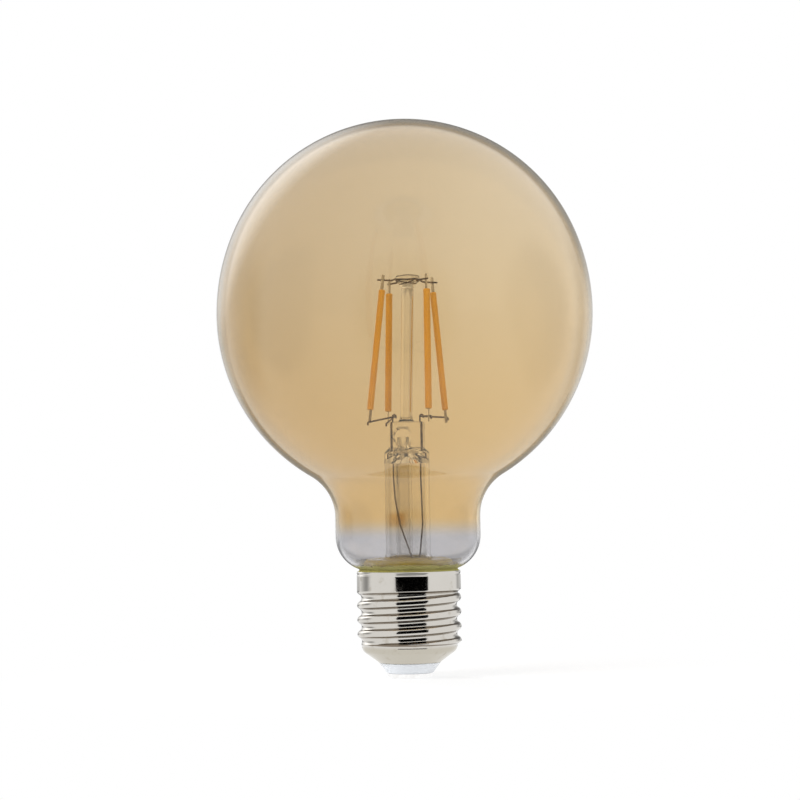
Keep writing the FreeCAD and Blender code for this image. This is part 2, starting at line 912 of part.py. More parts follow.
def make_dies(index):
    """A row of small blocks on the outer face of the strip, evenly spaced."""
    count = int(number_of("die_count"))
    spacing = coating_length(index) / (count + 1)
    width, length = number_of("die_width"), number_of("die_length")
    face = number_of("strip_thickness") / 2
    dies = []
    for step in range(1, count + 1):
        corner = FreeCAD.Vector(-width / 2, face, spacing * step - length / 2)
        dies.append(Part.makeBox(width, number_of("die_height"), length, corner))
    return shaped(f"filament_{index + 1}_dies", Part.makeCompound(dies), leaning(index))


def make_tab(label, length, end, away, wire_point, wire_direction, wire_radius):
    """A flat tab from a filament's end, turned so that its face lies along the wire."""
    along = (wire_direction - away * wire_direction.dot(away)).normalize()
    face = away.cross(along)
    gap = face.dot(wire_point - end)
    shift = gap - math.copysign(side_step(wire_radius), gap)
    tab = doc.addObject("Part::Box", label)
    bind(tab, "Length", size("tab_width"))
    bind(tab, "Width", size("tab_thickness"))
    bind(tab, "Height", length)
    half = number_of("tab_width") / 2
    middle = number_of("tab_thickness") / 2
    corner = end - along * half + face * (shift - middle)
    tab.Placement = FreeCAD.Placement(corner, FreeCAD.Rotation(along, face, away, "ZXY"))
    return tab


def make_tabs(index):
    head, foot = filament_head(index), filament_foot(index)
    up = (head - foot).normalize()
    out = level(number_of("head_turn") + quarter(index))
    arm = bridge_centre() - FreeCAD.Vector(0, 0, number_of("bridge_arch_height"))
    label = f"filament_{index + 1}"
    length = size("head_tab_length")
    wire = number_of("bridge_wire_radius")
    top = make_tab(label + "_top_tab", length, head, up, arm, out, wire)
    corner = bar_corner(side_of(index))
    along = bar_direction(index)
    length = size("foot_tab_length")
    bar = number_of("bar_radius")
    bottom = make_tab(label + "_bottom_tab", length, foot, -up, corner, along, bar)
    return [top, bottom]


# Screw cap: one drawn shell with a rolled round thread

def rolled_radius(angle, height, inset):
    """Radius of the shell at an angle and height. Crest and root are arcs of one radius that
    meet half way, along a right-hand helix. The wave runs out to the root at the foot and
    rises to the crest at the skirt."""
    pitch = number_of("thread_pitch")
    bend = number_of("thread_round")
    depth = number_of("thread_depth")
    rise = (height - number_of("thread_phase")) / pitch - angle / (2 * math.pi)
    offset = (rise - round(rise)) * pitch
    if abs(offset) <= pitch / 4:
        wave = depth - (bend - math.sqrt(bend * bend - offset * offset))
    else:
        beyond = pitch / 2 - abs(offset)
        wave = bend - math.sqrt(bend * bend - beyond * beyond)
    runout = number_of("runout_length")
    head = smooth_step((height - number_of("thread_head")) / runout + 1)
    foot = smooth_step((height - number_of("thread_foot")) / runout)
    wave = wave * foot + (depth - wave) * head
    return number_of("root_radius") + wave - inset


def smooth_step(share):
    share = min(max(share, 0.0), 1.0)
    return share * share * (3 - 2 * share)


def smooth_skin(rows):
    """A closed surface of rings, one for each (radius at an angle, height) of the rows.

    The rings are uniform periodic cubics. Their poles lie further out than the ring itself,
    by the share that such a curve pulls in between its poles."""
    step = 2 * math.pi / RING_POLES
    swell = 3 / (2 + math.cos(step))
    columns = []
    for column in range(RING_POLES):
        angle = step * column
        points = []
        for radius_at, height in rows:
            points.append(level(math.degrees(angle), radius_at(angle) * swell, height))
        line = Part.BSplineCurve()
        line.interpolate(Points=points, Parameters=[float(row) for row in range(len(rows))])
        columns.append(line)
    first = columns[0]
    surface = Part.BSplineSurface()
    surface.buildFromPolesMultsKnots(
        [line.getPoles() for line in columns],
        [1] * (RING_POLES + 1),
        first.getMultiplicities(),
        [float(knot) for knot in range(RING_POLES + 1)],
        first.getKnots(),
        True,
        False,
        3,
        first.Degree,
    )
    return surface.toShape()


def plain_rows(points):
    return [((lambda angle, radius=radius: radius), height) for radius, height in points]


def cone_slope():
    """How far the cone leans in from the vertical, so that it starts tangent to its arc and
    ends at the lip."""
    bend = number_of("cone_round")
    across = number_of("root_radius") - bend - number_of("lip_radius")
    down = number_of("thread_foot") - number_of("lip_height")
    return math.atan2(across, down) + math.asin(bend / math.hypot(across, down))


def cone_points(inset):
    """The cone's line and the arc above it, from the lip up to the thread."""
    slope = cone_slope()
    bend = number_of("cone_round")
    foot = number_of("thread_foot")
    centre = number_of("root_radius") - bend
    arc = []
    for step in range(ARC_ROWS + 1):
        turned = slope * (ARC_ROWS - step) / ARC_ROWS
        radius = centre + (bend - inset) * math.cos(turned)
        arc.append((radius, foot - (bend - inset) * math.sin(turned)))
    leave = arc[0]
    line = []
    for step in range(LINE_ROWS + 1):
        share = 1 - step / LINE_ROWS
        drop = (leave[1] - number_of("lip_height")) * share
        line.append((leave[0] - math.tan(slope) * drop, leave[1] - drop))
    return line, arc


def wall_side(inset):
    """One side of the shell's wall: cone, arc, rolled thread and skirt, from the lip up."""
    foot, head = number_of("thread_foot"), number_of("thread_head")
    rim = number_of("skirt_rim")
    skirt_radius = number_of("crest_radius") - inset
    line, arc = cone_points(inset)
    skirt = []
    for step in range(LINE_ROWS + 1):
        skirt.append((skirt_radius, head + (rim - head) * step / LINE_ROWS))
    count = math.ceil((head - foot) / number_of("thread_pitch") * ROWS_PER_TURN)
    rolled = []
    for row in range(count + 1):
        height = foot + (head - foot) * row / count
        rolled.append(
            ((lambda angle, height=height: rolled_radius(angle, height, inset)), height)
        )
    rows = [plain_rows(line), plain_rows(arc), rolled, plain_rows(skirt)]
    return [smooth_skin(part) for part in rows]


def ring_of(face, height):
    """The closed edge of a face at one height."""
    for edge in face.Edges:
        if edge.isClosed() and abs(edge.BoundBox.Center.z - height) < NEAR:
            return Part.Wire([edge])
    raise ValueError("no ring at that height")


def make_screw_shell():
    """Drawn sheet, open at both ends: lip, cone, rolled thread, skirt and rim."""
    outer = wall_side(0.0)
    inner = wall_side(number_of("shell_wall"))
    faces = outer + inner
    for end, height in ((0, number_of("lip_height")), (-1, number_of("skirt_rim"))):
        rings = [ring_of(outer[end], height), ring_of(inner[end], height)]
        faces.append(Part.makeFace(rings, "Part::FaceMakerBullseye"))
    wall = Part.Compound(faces)
    wall.sewShape(SEW_REACH)
    solid = Part.makeSolid(wall.Shells[0] if wall.Shells else wall)
    return shaped("screw_shell", solid)


# Foot of the cap

def make_insulator():
    """A plug in the cone, with a step under the lip and a bore for the contact's pin."""
    slope = cone_slope()
    fit = number_of("insulator_fit")
    inner_line = cone_points(number_of("shell_wall"))[0]
    lip_inner = inner_line[0][0]
    away = fit / math.cos(slope)
    lip = number_of("lip_height")
    top = number_of("insulator_top")
    bore = number_of("pin_radius") + fit
    foot = number_of("contact_thickness")
    outline = [
        (bore, foot),
        (number_of("insulator_foot_radius"), foot),
        (number_of("lip_radius") - fit, lip - fit),
        (lip_inner - away, lip - fit),
        (lip_inner - away, lip),
        (lip_inner - away + (top - lip) * math.tan(slope), top),
        (bore, top),
    ]
    points = [FreeCAD.Vector(radius, 0, height) for radius, height in outline]
    face = Part.Face(Part.makePolygon(points + points[:1]))
    solid = face.revolve(FreeCAD.Vector(), FreeCAD.Vector(0, 0, 1), 360)
    return shaped("base_insulator", solid)


def make_contact():
    """A pressed disc with a rounded edge and a pin that holds it in the insulator."""
    edge = size("contact_radius")
    bend = size("contact_round")
    thick = size("contact_thickness")
    return turned_piece(
        "centre_contact",
        [
            (0, 0),
            (edge - bend, 0),
            (edge, bend, bend, edge - bend, bend),
            (edge, thick),
            (size("pin_radius"), thick),
            (size("pin_radius"), size("pin_top")),
            (0, size("pin_top")),
        ],
    )


def make_cement():
    """A ring that fills the skirt round the glass mouth and the flare's bell from below."""
    gap = size("cement_gap")
    skirt = size("crest_radius") - size("shell_wall") - gap
    rim = size("skirt_rim")
    mouth = size("mouth_radius") + gap
    trough = size("seal_height") - size("stem_wall") - gap
    bell = size("mouth_radius") - size("globe_wall") - size("seal_gap") - size("stem_wall") - gap
    top = size("flare_height") - size("stem_wall") - gap
    bend = size("flare_round") - size("stem_wall") - gap
    return turned_piece(
        "basing_cement",
        [
            (size("cement_bore"), size("cement_foot")),
            (skirt, size("cement_foot")),
            (skirt, rim),
            (mouth, rim),
            (mouth, trough),
            (bell, trough),
            (bell, top - bend),
            (bell - bend, top, bend, bell - bend, top - bend),
            (size("cement_bore"), top),
        ],
    )


# Driver in the cap: a round board with parts on both faces

def make_board():
    radius = size("root_radius") - size("shell_wall") - size("board_gap")
    return rod("driver_board", radius, size("board_thickness"), 0, 0, size("board_foot"))


def rounded_can(label, radius, length, across, foot, bend):
    """An upright can whose two rims are rounded."""
    can = rod(label + "_blank", radius, length, across, 0, foot)
    doc.recompute()
    rims = []
    for number, edge in enumerate(can.Shape.Edges, start=1):
        if edge.BoundBox.ZLength < NEAR:
            rims.append((number, float(bend), float(bend)))
    soft = doc.addObject("Part::Fillet", label)
    soft.Base = can
    soft.Edges = rims
    return soft


def make_capacitor():
    """A can that hangs under the board on two leads."""
    leads = size("capacitor_lead")
    across = size("capacitor_offset")
    stand = leads * 2
    length = size("capacitor_length")
    foot = size("board_foot") - stand - length
    can = rounded_can("capacitor_can", size("capacitor_radius"), length, across, foot, leads)
    half = size("capacitor_pitch") / 2
    top = size("board_foot") - stand
    first = rod("capacitor_lead_front", leads, stand, across, -half, top)
    second = rod("capacitor_lead_back", leads, stand, across, half, top)
    return joined("smoothing_capacitor", [can, first, second])


def make_fusible_resistor():
    """An upright axial resistor in the live feed."""
    across = -size("resistor_offset")
    foot = size("resistor_foot")
    lead = size("resistor_lead")
    length = size("resistor_length")
    body = rounded_can("resistor_body", size("resistor_radius"), length, across, foot, lead)
    top = foot + length
    upper = rod("resistor_upper_lead", lead, size("board_foot") - top, across, 0, top)
    stub = lead * 2
    lower = rod("resistor_lower_lead", lead, stub, across, 0, foot - stub)
    return joined("fusible_resistor", [body, upper, lower])


def make_chip_package(label, length, width, height, left, front, legs_front, legs_back):
    """A moulded body that stands on the board, with flat legs in a row at front and back."""
    bottom = size("board_top")
    pieces = [block(label + "_body", length, width, height, left, front, bottom)]
    for side, legs in (("front", legs_front), ("back", legs_back)):
        for leg_number in range(legs):
            middle = left + length * ((leg_number + 0.5) / legs)
            start = front - size("leg_length") if side == "front" else front + width
            pieces.append(
                block(
                    f"{label}_{side}_leg_{leg_number + 1}",
                    size("leg_width"),
                    size("leg_length"),
                    size("leg_thickness"),
                    middle - size("leg_width") / 2,
                    start,
                    bottom,
                )
            )
    return joined(label, pieces)


def make_rectifier():
    length, width = size("rectifier_length"), size("rectifier_width")
    front = size("stem_radius") - size("leg_length")
    return make_chip_package(
        "bridge_rectifier", length, width, size("rectifier_height"), -length / 2, front, 2, 2
    )


def make_driver_chip():
    length, width = size("chip_length"), size("chip_width")
    left = -size("stem_radius") - length
    return make_chip_package(
        "driver_chip", length, width, size("chip_height"), left, -width / 2, 3, 1
    )


def make_sense_resistors():
    """Two chip resistors side by side."""
    length, width = size("sense_length"), size("sense_width")
    front = -size("stem_radius") - width
    pair = []
    for number, left in enumerate((-length - width / 2, width / 2), start=1):
        pair.append(
            block(
                f"sense_resistor_{number}",
                length,
                width,
                size("sense_height"),
                left,
                front,
                size("board_top"),
            )
        )
    group = doc.addObject("Part::Compound", "sense_resistors")
    group.Links = pair
    return group


def make_live_wire():
    """From the contact's pin, across and up to the fusible resistor."""
    start = number_of("pin_top")
    across = -number_of("resistor_offset")
    end = number_of("resistor_foot") - 2 * number_of("resistor_lead")
    middle = (start + end) / 2
    path = [
        FreeCAD.Vector(0, 0, start),
        FreeCAD.Vector(0, 0, middle),
        FreeCAD.Vector(across, 0, middle),
        FreeCAD.Vector(across, 0, end),
    ]
    bends = [number_of("feed_bend")] * 2
    return shaped("live_wire", bent_wire(path, bends, number_of("feed_radius")))


def make_neutral_wire():
    """From the board up and out to the inside of the skirt, just below the cement."""
    skirt = number_of("crest_radius") - number_of("shell_wall") - number_of("weld_gap")
    radius = number_of("feed_radius")
    height = number_of("cement_foot") - radius - number_of("neutral_gap")
    out = level(number_of("neutral_angle"))
    stand = number_of("cement_bore") + radius
    path = [
        out * stand + FreeCAD.Vector(0, 0, number_of("board_top")),
        out * stand + FreeCAD.Vector(0, 0, height),
        out * skirt + FreeCAD.Vector(0, 0, height),
    ]
    return shaped("neutral_wire", bent_wire(path, [number_of("feed_bend")], radius))


def make_lamp():
    bridge, bores = make_bridge()
    left_lead, right_lead = make_leads()
    nodes = [
        make_globe(),
        make_stem(),
        make_exhaust_tube(),
        make_support_rod(bores),
        bridge,
        left_lead,
        right_lead,
        make_support_bar("left_support_bar", -1),
        make_support_bar("right_support_bar", 1),
    ]
    for index in range(int(number_of("filament_count"))):
        nodes += [make_coating(index), make_strip(index), make_dies(index)]
        nodes += make_tabs(index)
    nodes += [
        make_cement(),
        make_screw_shell(),
        make_insulator(),
        make_contact(),
        make_board(),
        make_rectifier(),
        make_driver_chip(),
        make_capacitor(),
        make_fusible_resistor(),
        make_sense_resistors(),
        make_live_wire(),
        make_neutral_wire(),
    ]
    return nodes


def check_and_write(nodes):
    doc.recompute()
    for item in doc.Objects:
        if "Invalid" in item.State or "Error" in item.State:
            raise ValueError(f"{item.Label} failed: {item.State}")
    os.makedirs("parts", exist_ok=True)
    for node in nodes:
        shape = node.Shape
        if shape.isNull() or not shape.isValid() or shape.Volume <= 0:
            raise ValueError(f"{node.Label} has no sound solid")
        shape.exportStep(f"parts/{node.Label}.step")
        box = shape.BoundBox
        print(
            f"{node.Label}: {len(shape.Solids)} solid, {shape.Volume:.2f} mm3,"
            f" z {box.ZMin:.2f} to {box.ZMax:.2f}, x {box.XMin:.2f} to {box.XMax:.2f}"
        )


check_and_write(make_lamp())
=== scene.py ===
import math

import bmesh
import bpy
import numpy as np
from mathutils import Matrix, Vector


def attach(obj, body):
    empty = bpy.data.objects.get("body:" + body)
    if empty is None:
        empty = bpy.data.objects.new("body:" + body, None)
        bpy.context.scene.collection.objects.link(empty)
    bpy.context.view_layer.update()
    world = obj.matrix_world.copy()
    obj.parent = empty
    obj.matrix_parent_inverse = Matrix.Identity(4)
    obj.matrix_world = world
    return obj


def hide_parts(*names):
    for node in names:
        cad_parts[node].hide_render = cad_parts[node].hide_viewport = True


# Globe lamp with LED filaments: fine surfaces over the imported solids, worked out in millimetres
MM = 0.001

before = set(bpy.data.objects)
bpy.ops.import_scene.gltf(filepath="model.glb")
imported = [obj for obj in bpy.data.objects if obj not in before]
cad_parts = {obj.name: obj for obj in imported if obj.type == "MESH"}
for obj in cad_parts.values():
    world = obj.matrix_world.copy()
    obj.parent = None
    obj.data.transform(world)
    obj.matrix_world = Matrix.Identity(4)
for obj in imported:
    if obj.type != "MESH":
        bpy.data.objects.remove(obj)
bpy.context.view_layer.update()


# Surfaces

def arc(across, up, radius, start, end, step):
    """Points at a radius about (across, up), from one angle to another in degrees."""
    count = max(3, int(abs(end - start) / step) + 2)
    turned = np.radians(np.linspace(start, end, count))
    return np.column_stack([across + radius * np.cos(turned), up + radius * np.sin(turned)])


def trace(corners, step=4.0):
    """A profile through corners: (across, up) ends a straight side, and
    (across, up, radius, centre across, centre up) ends an arc, the short way round."""
    points = [np.array([corners[0][:2]], float)]
    for corner in corners[1:]:
        start = points[-1][-1]
        if len(corner) == 2:
            points.append(np.array([corner], float))
            continue
        radius, across, up = corner[2:]
        first = math.degrees(math.atan2(start[1] - up, start[0] - across))
        last = math.degrees(math.atan2(corner[1] - up, corner[0] - across))
        sweep = (last - first + 180) % 360 - 180
        points.append(arc(across, up, radius, first, first + sweep, step)[1:])
    return np.vstack(points)


def smooth(share):
    """Goes from 0 to 1 with a level start and end: s s (3 - 2 s)."""
    share = np.clip(share, 0, 1)
    return share * share * (3 - 2 * share)


def turns(sides):
    """Equal steps of angle round a circle."""
    return np.linspace(0, 2 * np.pi, sides, endpoint=False)


def spun(profile, sides=160):
    """Each point of a profile goes round the vertical axis: (r cos a, r sin a, z)."""
    angle = turns(sides)
    radius, height = profile[:, :1], profile[:, 1:]
    return np.stack([radius * np.cos(angle), radius * np.sin(angle), height + 0 * angle], axis=-1)


def flat_bar(half_width, half_thickness, angle):
    """Distance from the middle of a bar with half-round sides to its skin along each angle:
    thickness over sine on the flats, and the far crossing with the round side elsewhere."""
    reach = half_width - half_thickness
    side, up = np.abs(np.cos(angle)), np.abs(np.sin(angle))
    inner = np.sqrt(np.maximum(half_thickness**2 - (reach * up) ** 2, 0))
    on_flat = half_thickness * side <= reach * up
    return np.where(on_flat, half_thickness / np.maximum(up, 1e-6), reach * side + inner)


def skin(name, grids, material, nodes, ring=False, sharp=40.0):
    """One mesh from grids of rows and columns of points. A face joins neighbouring rows and
    columns, and the last column joins the first. The last row joins the first on a ring, and
    otherwise the middle of each end row shuts that end."""
    points, quads, count = [], [], 0
    for grid in grids:
        if ring:
            grid = np.concatenate([grid, grid[:1]])
        else:
            ends = grid[[0, -1]].mean(axis=1, keepdims=True) + 0 * grid[[0, -1]]
            grid = np.concatenate([ends[:1], grid, ends[1:]])
        rows, columns = grid.shape[:2]
        index = count + np.arange(rows * columns).reshape(rows, columns)
        after = np.roll(index, -1, axis=1)
        faces = np.stack([index[:-1], after[:-1], after[1:], index[1:]], axis=-1)
        quads.append(faces.reshape(-1, 4))
        points.append(grid.reshape(-1, 3))
        count += rows * columns
    mesh = bpy.data.meshes.new(name)
    mesh.from_pydata((np.vstack(points) * MM).tolist(), [], np.vstack(quads).tolist())
    work = bmesh.new()
    work.from_mesh(mesh)
    bmesh.ops.remove_doubles(work, verts=work.verts, dist=1e-7)
    bmesh.ops.recalc_face_normals(work, faces=work.faces)
    work.to_mesh(mesh)
    work.free()
    mesh.polygons.foreach_set("use_smooth", [True] * len(mesh.polygons))
    mesh.set_sharp_from_angle(angle=math.radians(sharp))
    mesh.materials.append(material)
    piece = bpy.data.objects.new(name, mesh)
    bpy.context.scene.collection.objects.link(piece)
    if nodes:
        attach(piece, "root")
        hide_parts(*nodes)
    return piece


def bent(points, bends, step=15.0):
    """Straight runs joined by tangent arcs: centre + start cos t + side sin t."""
    points = [np.array(point, float) for point in points]
    path = [points[0][None]]
    for before, corner, after, bend in zip(points, points[1:], points[2:], bends):
        back = (before - corner) / np.linalg.norm(before - corner)
        ahead = (after - corner) / np.linalg.norm(after - corner)
        half = math.acos(back @ ahead) / 2
        inward = (back + ahead) / np.linalg.norm(back + ahead)
        centre = corner + inward * bend / math.sin(half)
        start = corner + back * bend / math.tan(half) - centre
        sweep = math.pi - 2 * half
        turned = np.linspace(0, sweep, int(math.degrees(sweep) / step) + 3)[:, None]
        path.append(centre + start * np.cos(turned) - back * bend * np.sin(turned))
    path.append(points[-1][None])
    return np.vstack(path)


def wire(path, radius, sides=20):
    """A circle carried along a path, whose end rows shrink to a point along a quarter circle."""
    steps = np.diff(path, axis=0)
    steps /= np.linalg.norm(steps, axis=1)[:, None]
    tangent = np.vstack([steps[:1], steps[:-1] + steps[1:], steps[-1:]])
    tangent /= np.linalg.norm(tangent, axis=1)[:, None]
    first = np.cross(tangent, (0.31, 0.87, 0.38))
    first /= np.linalg.norm(first, axis=1)[:, None]
    second = np.cross(tangent, first)
    angle = turns(sides)[None, :, None]
    ring = (first[:, None] * np.cos(angle) + second[:, None] * np.sin(angle)) * radius
    turned = np.radians([10, 40, 70, 90])[:, None, None]
    bend, size = radius * (1 - np.cos(turned)), np.sin(turned)
    head = path[0] + tangent[0] * bend + ring[0] * size
    tail = path[-1] - tangent[-1] * bend + ring[-1] * size
    return np.vstack([head, path[1:-1, None] + ring[1:-1], tail[::-1]])


def placed(points, origin, across, out, up):
    """Local (x, y, z) points carried to a piece's own frame."""
    return origin + points[..., :1] * across + points[..., 1:2] * out + points[..., 2:] * up


# Sizes

GLOBE_R, GLOBE_Z, GLOBE_WALL = 47.5, 91.6, 0.8
CROWN_RISE, CROWN_SIDE = 49.1, 52.0
NECK_R, NECK_FILLET, NECK_LENGTH = 18.3, 12.0, 4.8
SHOULDER_ROUND, MOUTH_R, MOUTH_FILLET = 8.8, 12.3, 0.6
SEAL_Z, SEAL_GAP = 25.0, 0.1
STEM_WALL, STEM_R = 0.95, 5.7
FLARE_Z, FLARE_ROUND, FLARE_FILLET = 29.5, 1.6, 1.4
TUBE_TOP, PRESS_FOOT, PRESS_TOP = 53.6, 57.8, 64.3
PRESS_WIDTH, PRESS_THICK, PRESS_ROUND = 9.2, 3.8, 0.5
EXHAUST_R, EXHAUST_WALL, EXHAUST_X = 2.1, 0.6, -0.9
EXHAUST_TOP, EXHAUST_TIP = 56.4, 20.6
PORT_Z, PORT_R = 60.4, 2.1
ROD_R, ROD_FOOT_R, ROD_FOOT = 1.52, 2.1, 1.6
ROD_TOP, BUTTON_R, BUTTON_FLARE, BUTTON_SIDE, BUTTON_ROUND = 98.2, 3.1, 1.7, 0.7, 0.8
BRIDGE_WIRE, BRIDGE_Z, BRIDGE_ARCH = 0.22, 99.85, 0.4
BRIDGE_X, BRIDGE_OVER, BRIDGE_SLOPE, WIRE_BEND = 0.88, 1.2, 1.0, 0.7
LEAD_R, LEAD_X, LEAD_BEND, LEAD_CLEAR = 0.2, 3.45, 1.6, 3.05
LEAD_SWAY, LEAD_FLARE_X, LEAD_PASS_X, LEAD_EASE_X = 0.3, 1.0, 1.9, 3.0
BOARD_TOP, CEMENT_FOOT, PASS_Z, EASE_Z, STRAIGHT_Z = 18.0, 23.1, 38.5, 45.0, 51.0
BAR_R, BAR_Z, BAR_DROPS, BAR_OVER, BAR_HOOK = 0.22, 65.6, {-1: 1.3, 1: 0.2}, 1.1, 0.8
WELD, HOOK_BEND, HOOK_LENGTH = 0.03, 0.43, 0.5
HEAD_SPREAD, HEAD_TURN, HEAD_Z = 8.0, 33.8, 97.4
FOOT_SPREAD, FOOT_TURN, FOOT_Z, FOOT_X = 10.77, 28.1, 67.2, 0.49
COAT_WIDE, COAT_THICK, COAT_ROUND = 1.75, 1.5, 0.4
TAB_WIDE, TAB_THICK, HEAD_TAB, FOOT_TAB = 0.9, 0.2, 3.8, 3.2
RIM_Z, THREAD_HEAD, THREAD_FOOT, PITCH = 26.75, 22.2, 7.9, 3.629
CREST_R, ROOT_R, THREAD_ROUND, THREAD_DEPTH = 13.1, 12.004, 1.025, 1.096
PHASE, RUNOUT, SHELL_WALL, SHELL_EDGE = 9.16, 1.2, 0.3, 0.12
CONE_ROUND, LIP_R, LIP_Z = 2.0, 7.8, 3.8
CEMENT_BORE, CEMENT_GAP = 6.2, 0.05
INSULATOR_R, INSULATOR_TOP, PIN_R, FIT = 6.1, 6.2, 1.9, 0.05
CONTACT_R, CONTACT_THICK, CONTACT_ROUND, PIN_TOP = 5.6, 1.2, 0.5, 7.6
FILAMENTS, FILAMENT_STEP, COAT_WAVE = 4, 90, 0.012
ROD_FOOT_POWER, BUTTON_POWER = 2.4, 1.35
BEAD_IN, BEAD_DEPTH, DIP_IN, DIP_DEPTH, DIP_SPREAD = 0.14, 0.45, 0.13, 0.8, 0.2

# Studio: places in metres, the roll in degrees, lens and sensor in millimetres
FLOOR_R, FLOOR_Z, FLOOR_SIDES = 2.5, -0.00002, 96
FLAG_R, FLAG_Z, FLAG_ROWS, FLAG_COLUMNS = 0.03, 0.015, 24, 40
PANEL_WAY, PANEL_LIGHT, PLAIN_LIGHT = (-0.47, 0.755, 0.46), 1.3, 0.62
LAMP_MIDDLE, LAMP_AIM = 0.07, (0, 0, 0.08)
CAMERA_SPOT, CAMERA_AIM = (-0.0012, -0.6, 0.045), (-0.0015, 0.0, 0.0698)
CAMERA_ROLL, CAMERA_LENS, CAMERA_SENSOR = 0.9, 106.9, 36.0


# Shader maths

class Flow:
    """A shader socket that takes part in sums: each operator adds one Math node."""

    def __init__(self, tree, socket):
        self.tree = tree
        self.socket = socket

    def maths(self, operation, *values):
        return node(self.tree, "ShaderNodeMath", {"operation": operation}, dict(enumerate(values)))

    def __add__(self, other):
        return self.maths("ADD", self, other)

    __radd__ = __add__

    def __mul__(self, other):
        return self.maths("MULTIPLY", self, other)

    __rmul__ = __mul__

    def __sub__(self, other):
        return self.maths("SUBTRACT", self, other)

    def __rsub__(self, other):
        return self.maths("SUBTRACT", other, self)

    def __pow__(self, other):
        return self.maths("POWER", self, other)

    def part(self, name):
        """Another output of the same node."""
        return Flow(self.tree, self.socket.node.outputs[name])


def node(tree, kind, settings=None, inputs=None, output=None):
    """One node: its settings first, then the values or links of its sockets."""
    made = tree.nodes.new(kind)
    for key, value in (settings or {}).items():
        setattr(made, key, value)
    for key, value in (inputs or {}).items():
        socket = made.inputs[key]
        if isinstance(value, Flow):
            tree.links.new(value.socket, socket)
        elif socket.type == "RGBA" and len(value) == 3:
            socket.default_value = (*value, 1.0)
        else:
            socket.default_value = value
    return Flow(tree, made.outputs[output or 0])


def finish_of(name):
    """A new material with its tree and its Principled shader."""
    material = bpy.data.materials.new(name)
    material.use_nodes = True
    tree = material.node_tree
    shader = next(item for item in tree.nodes if item.type == "BSDF_PRINCIPLED")
    return material, tree, shader


def feed(tree, shader, **inputs):
    """Sets a shader's sockets by name, with values or with links."""
    for key, value in inputs.items():
        socket = shader.inputs[key.replace("_", " ")]
        if isinstance(value, Flow):
            tree.links.new(value.socket, socket)
        else:
            socket.default_value = value


def here(tree):
    """Object coordinates."""
    return node(tree, "ShaderNodeTexCoord", output="Object")


def axis_of(tree, spot, axis):
    """One coordinate of a place."""
    return node(tree, "ShaderNodeSeparateXYZ", None, {0: spot}, axis)


def length_of(tree, spot):
    """Distance of a place from the origin."""
    return node(tree, "ShaderNodeVectorMath", {"operation": "LENGTH"}, {0: spot}, "Value")


def grain(tree, spot, scale, detail=3.0, stretch=(1, 1, 1)):
    """Noise between 0 and 1, stretched along the axes."""
    laid = node(tree, "ShaderNodeMapping", None, {"Vector": spot, "Scale": stretch})
    inputs = {"Vector": laid, "Scale": scale, "Detail": detail}
    return node(tree, "ShaderNodeTexNoise", None, inputs)


def mixed(tree, share, first, second):
    """Goes from one colour to another by a share from 0 to 1."""
    return node(
        tree, "ShaderNodeMix", {"data_type": "RGBA"}, {0: share, 6: first, 7: second}, 2
    )


def bump(tree, height, strength, distance):
    """A bump for the Normal socket, its distance in metres."""
    inputs = {"Height": height, "Strength": strength, "Distance": distance}
    return node(tree, "ShaderNodeBump", None, inputs)


def rise(tree, value, low, high):
    """0 below low, 1 above high and smooth between them."""
    settings = {"interpolation_type": "SMOOTHSTEP"}
    inputs = {"Value": value, "From Min": low, "From Max": high}
    return node(tree, "ShaderNodeMapRange", settings, inputs)


def band(tree, value, low, high, soft):
    """1 between two values, with smooth flanks inside them."""
    return rise(tree, value, low, low + soft) * (1 - rise(tree, value, high - soft, high))


def facing(tree, blend):
    """0 where the surface faces the eye, 1 at its edge."""
    return node(tree, "ShaderNodeLayerWeight", None, {"Blend": blend}, "Facing")


def over(tree, share, first, second):
    """A Mix Shader from one shader's output to another's, on the material's output."""
    both = node(tree, "ShaderNodeMixShader", None, {0: share})
    tree.links.new(first, both.socket.node.inputs[1])
    tree.links.new(second, both.socket.node.inputs[2])
    output = next(item for item in tree.nodes if item.type == "OUTPUT_MATERIAL")
    tree.links.new(both.socket, output.inputs["Surface"])
    return both.socket


def let_lamps_through(tree, shader, colour, height, wet_low, wet_high, pale):
    """Glass that lamps shine through: their rays meet a Transparent shader. Below the wet
    height the cement on its back shows, its colour lightened by pale as painted light."""
    ragged = grain(tree, here(tree), 420.0, 3.0)
    wet = 1 - rise(tree, height + (ragged - 0.5) * 0.0016, wet_low, wet_high)
    # Painted light: pale makes a lighter copy of the cement's colour, 1.9 times as light behind the
    # stem glass as behind the globe.
    dark = (0.17 * pale, 0.15 * pale, 0.04 * pale)
    olive = mixed(tree, ragged, dark, (0.36 * pale, 0.34 * pale, 0.13))
    inputs = {"Base Color": olive, "Roughness": 0.7, "Specular IOR Level": 0.25}
    paste = node(tree, "ShaderNodeBsdfPrincipled", None, inputs)
    body = over(tree, wet * 0.9, shader.outputs[0], paste.socket)
    clear = node(tree, "ShaderNodeBsdfTransparent", None, {"Color": colour})
    shadow = node(tree, "ShaderNodeLightPath", output="Is Shadow Ray")
    over(tree, shadow, body, clear.socket)


# Finishes

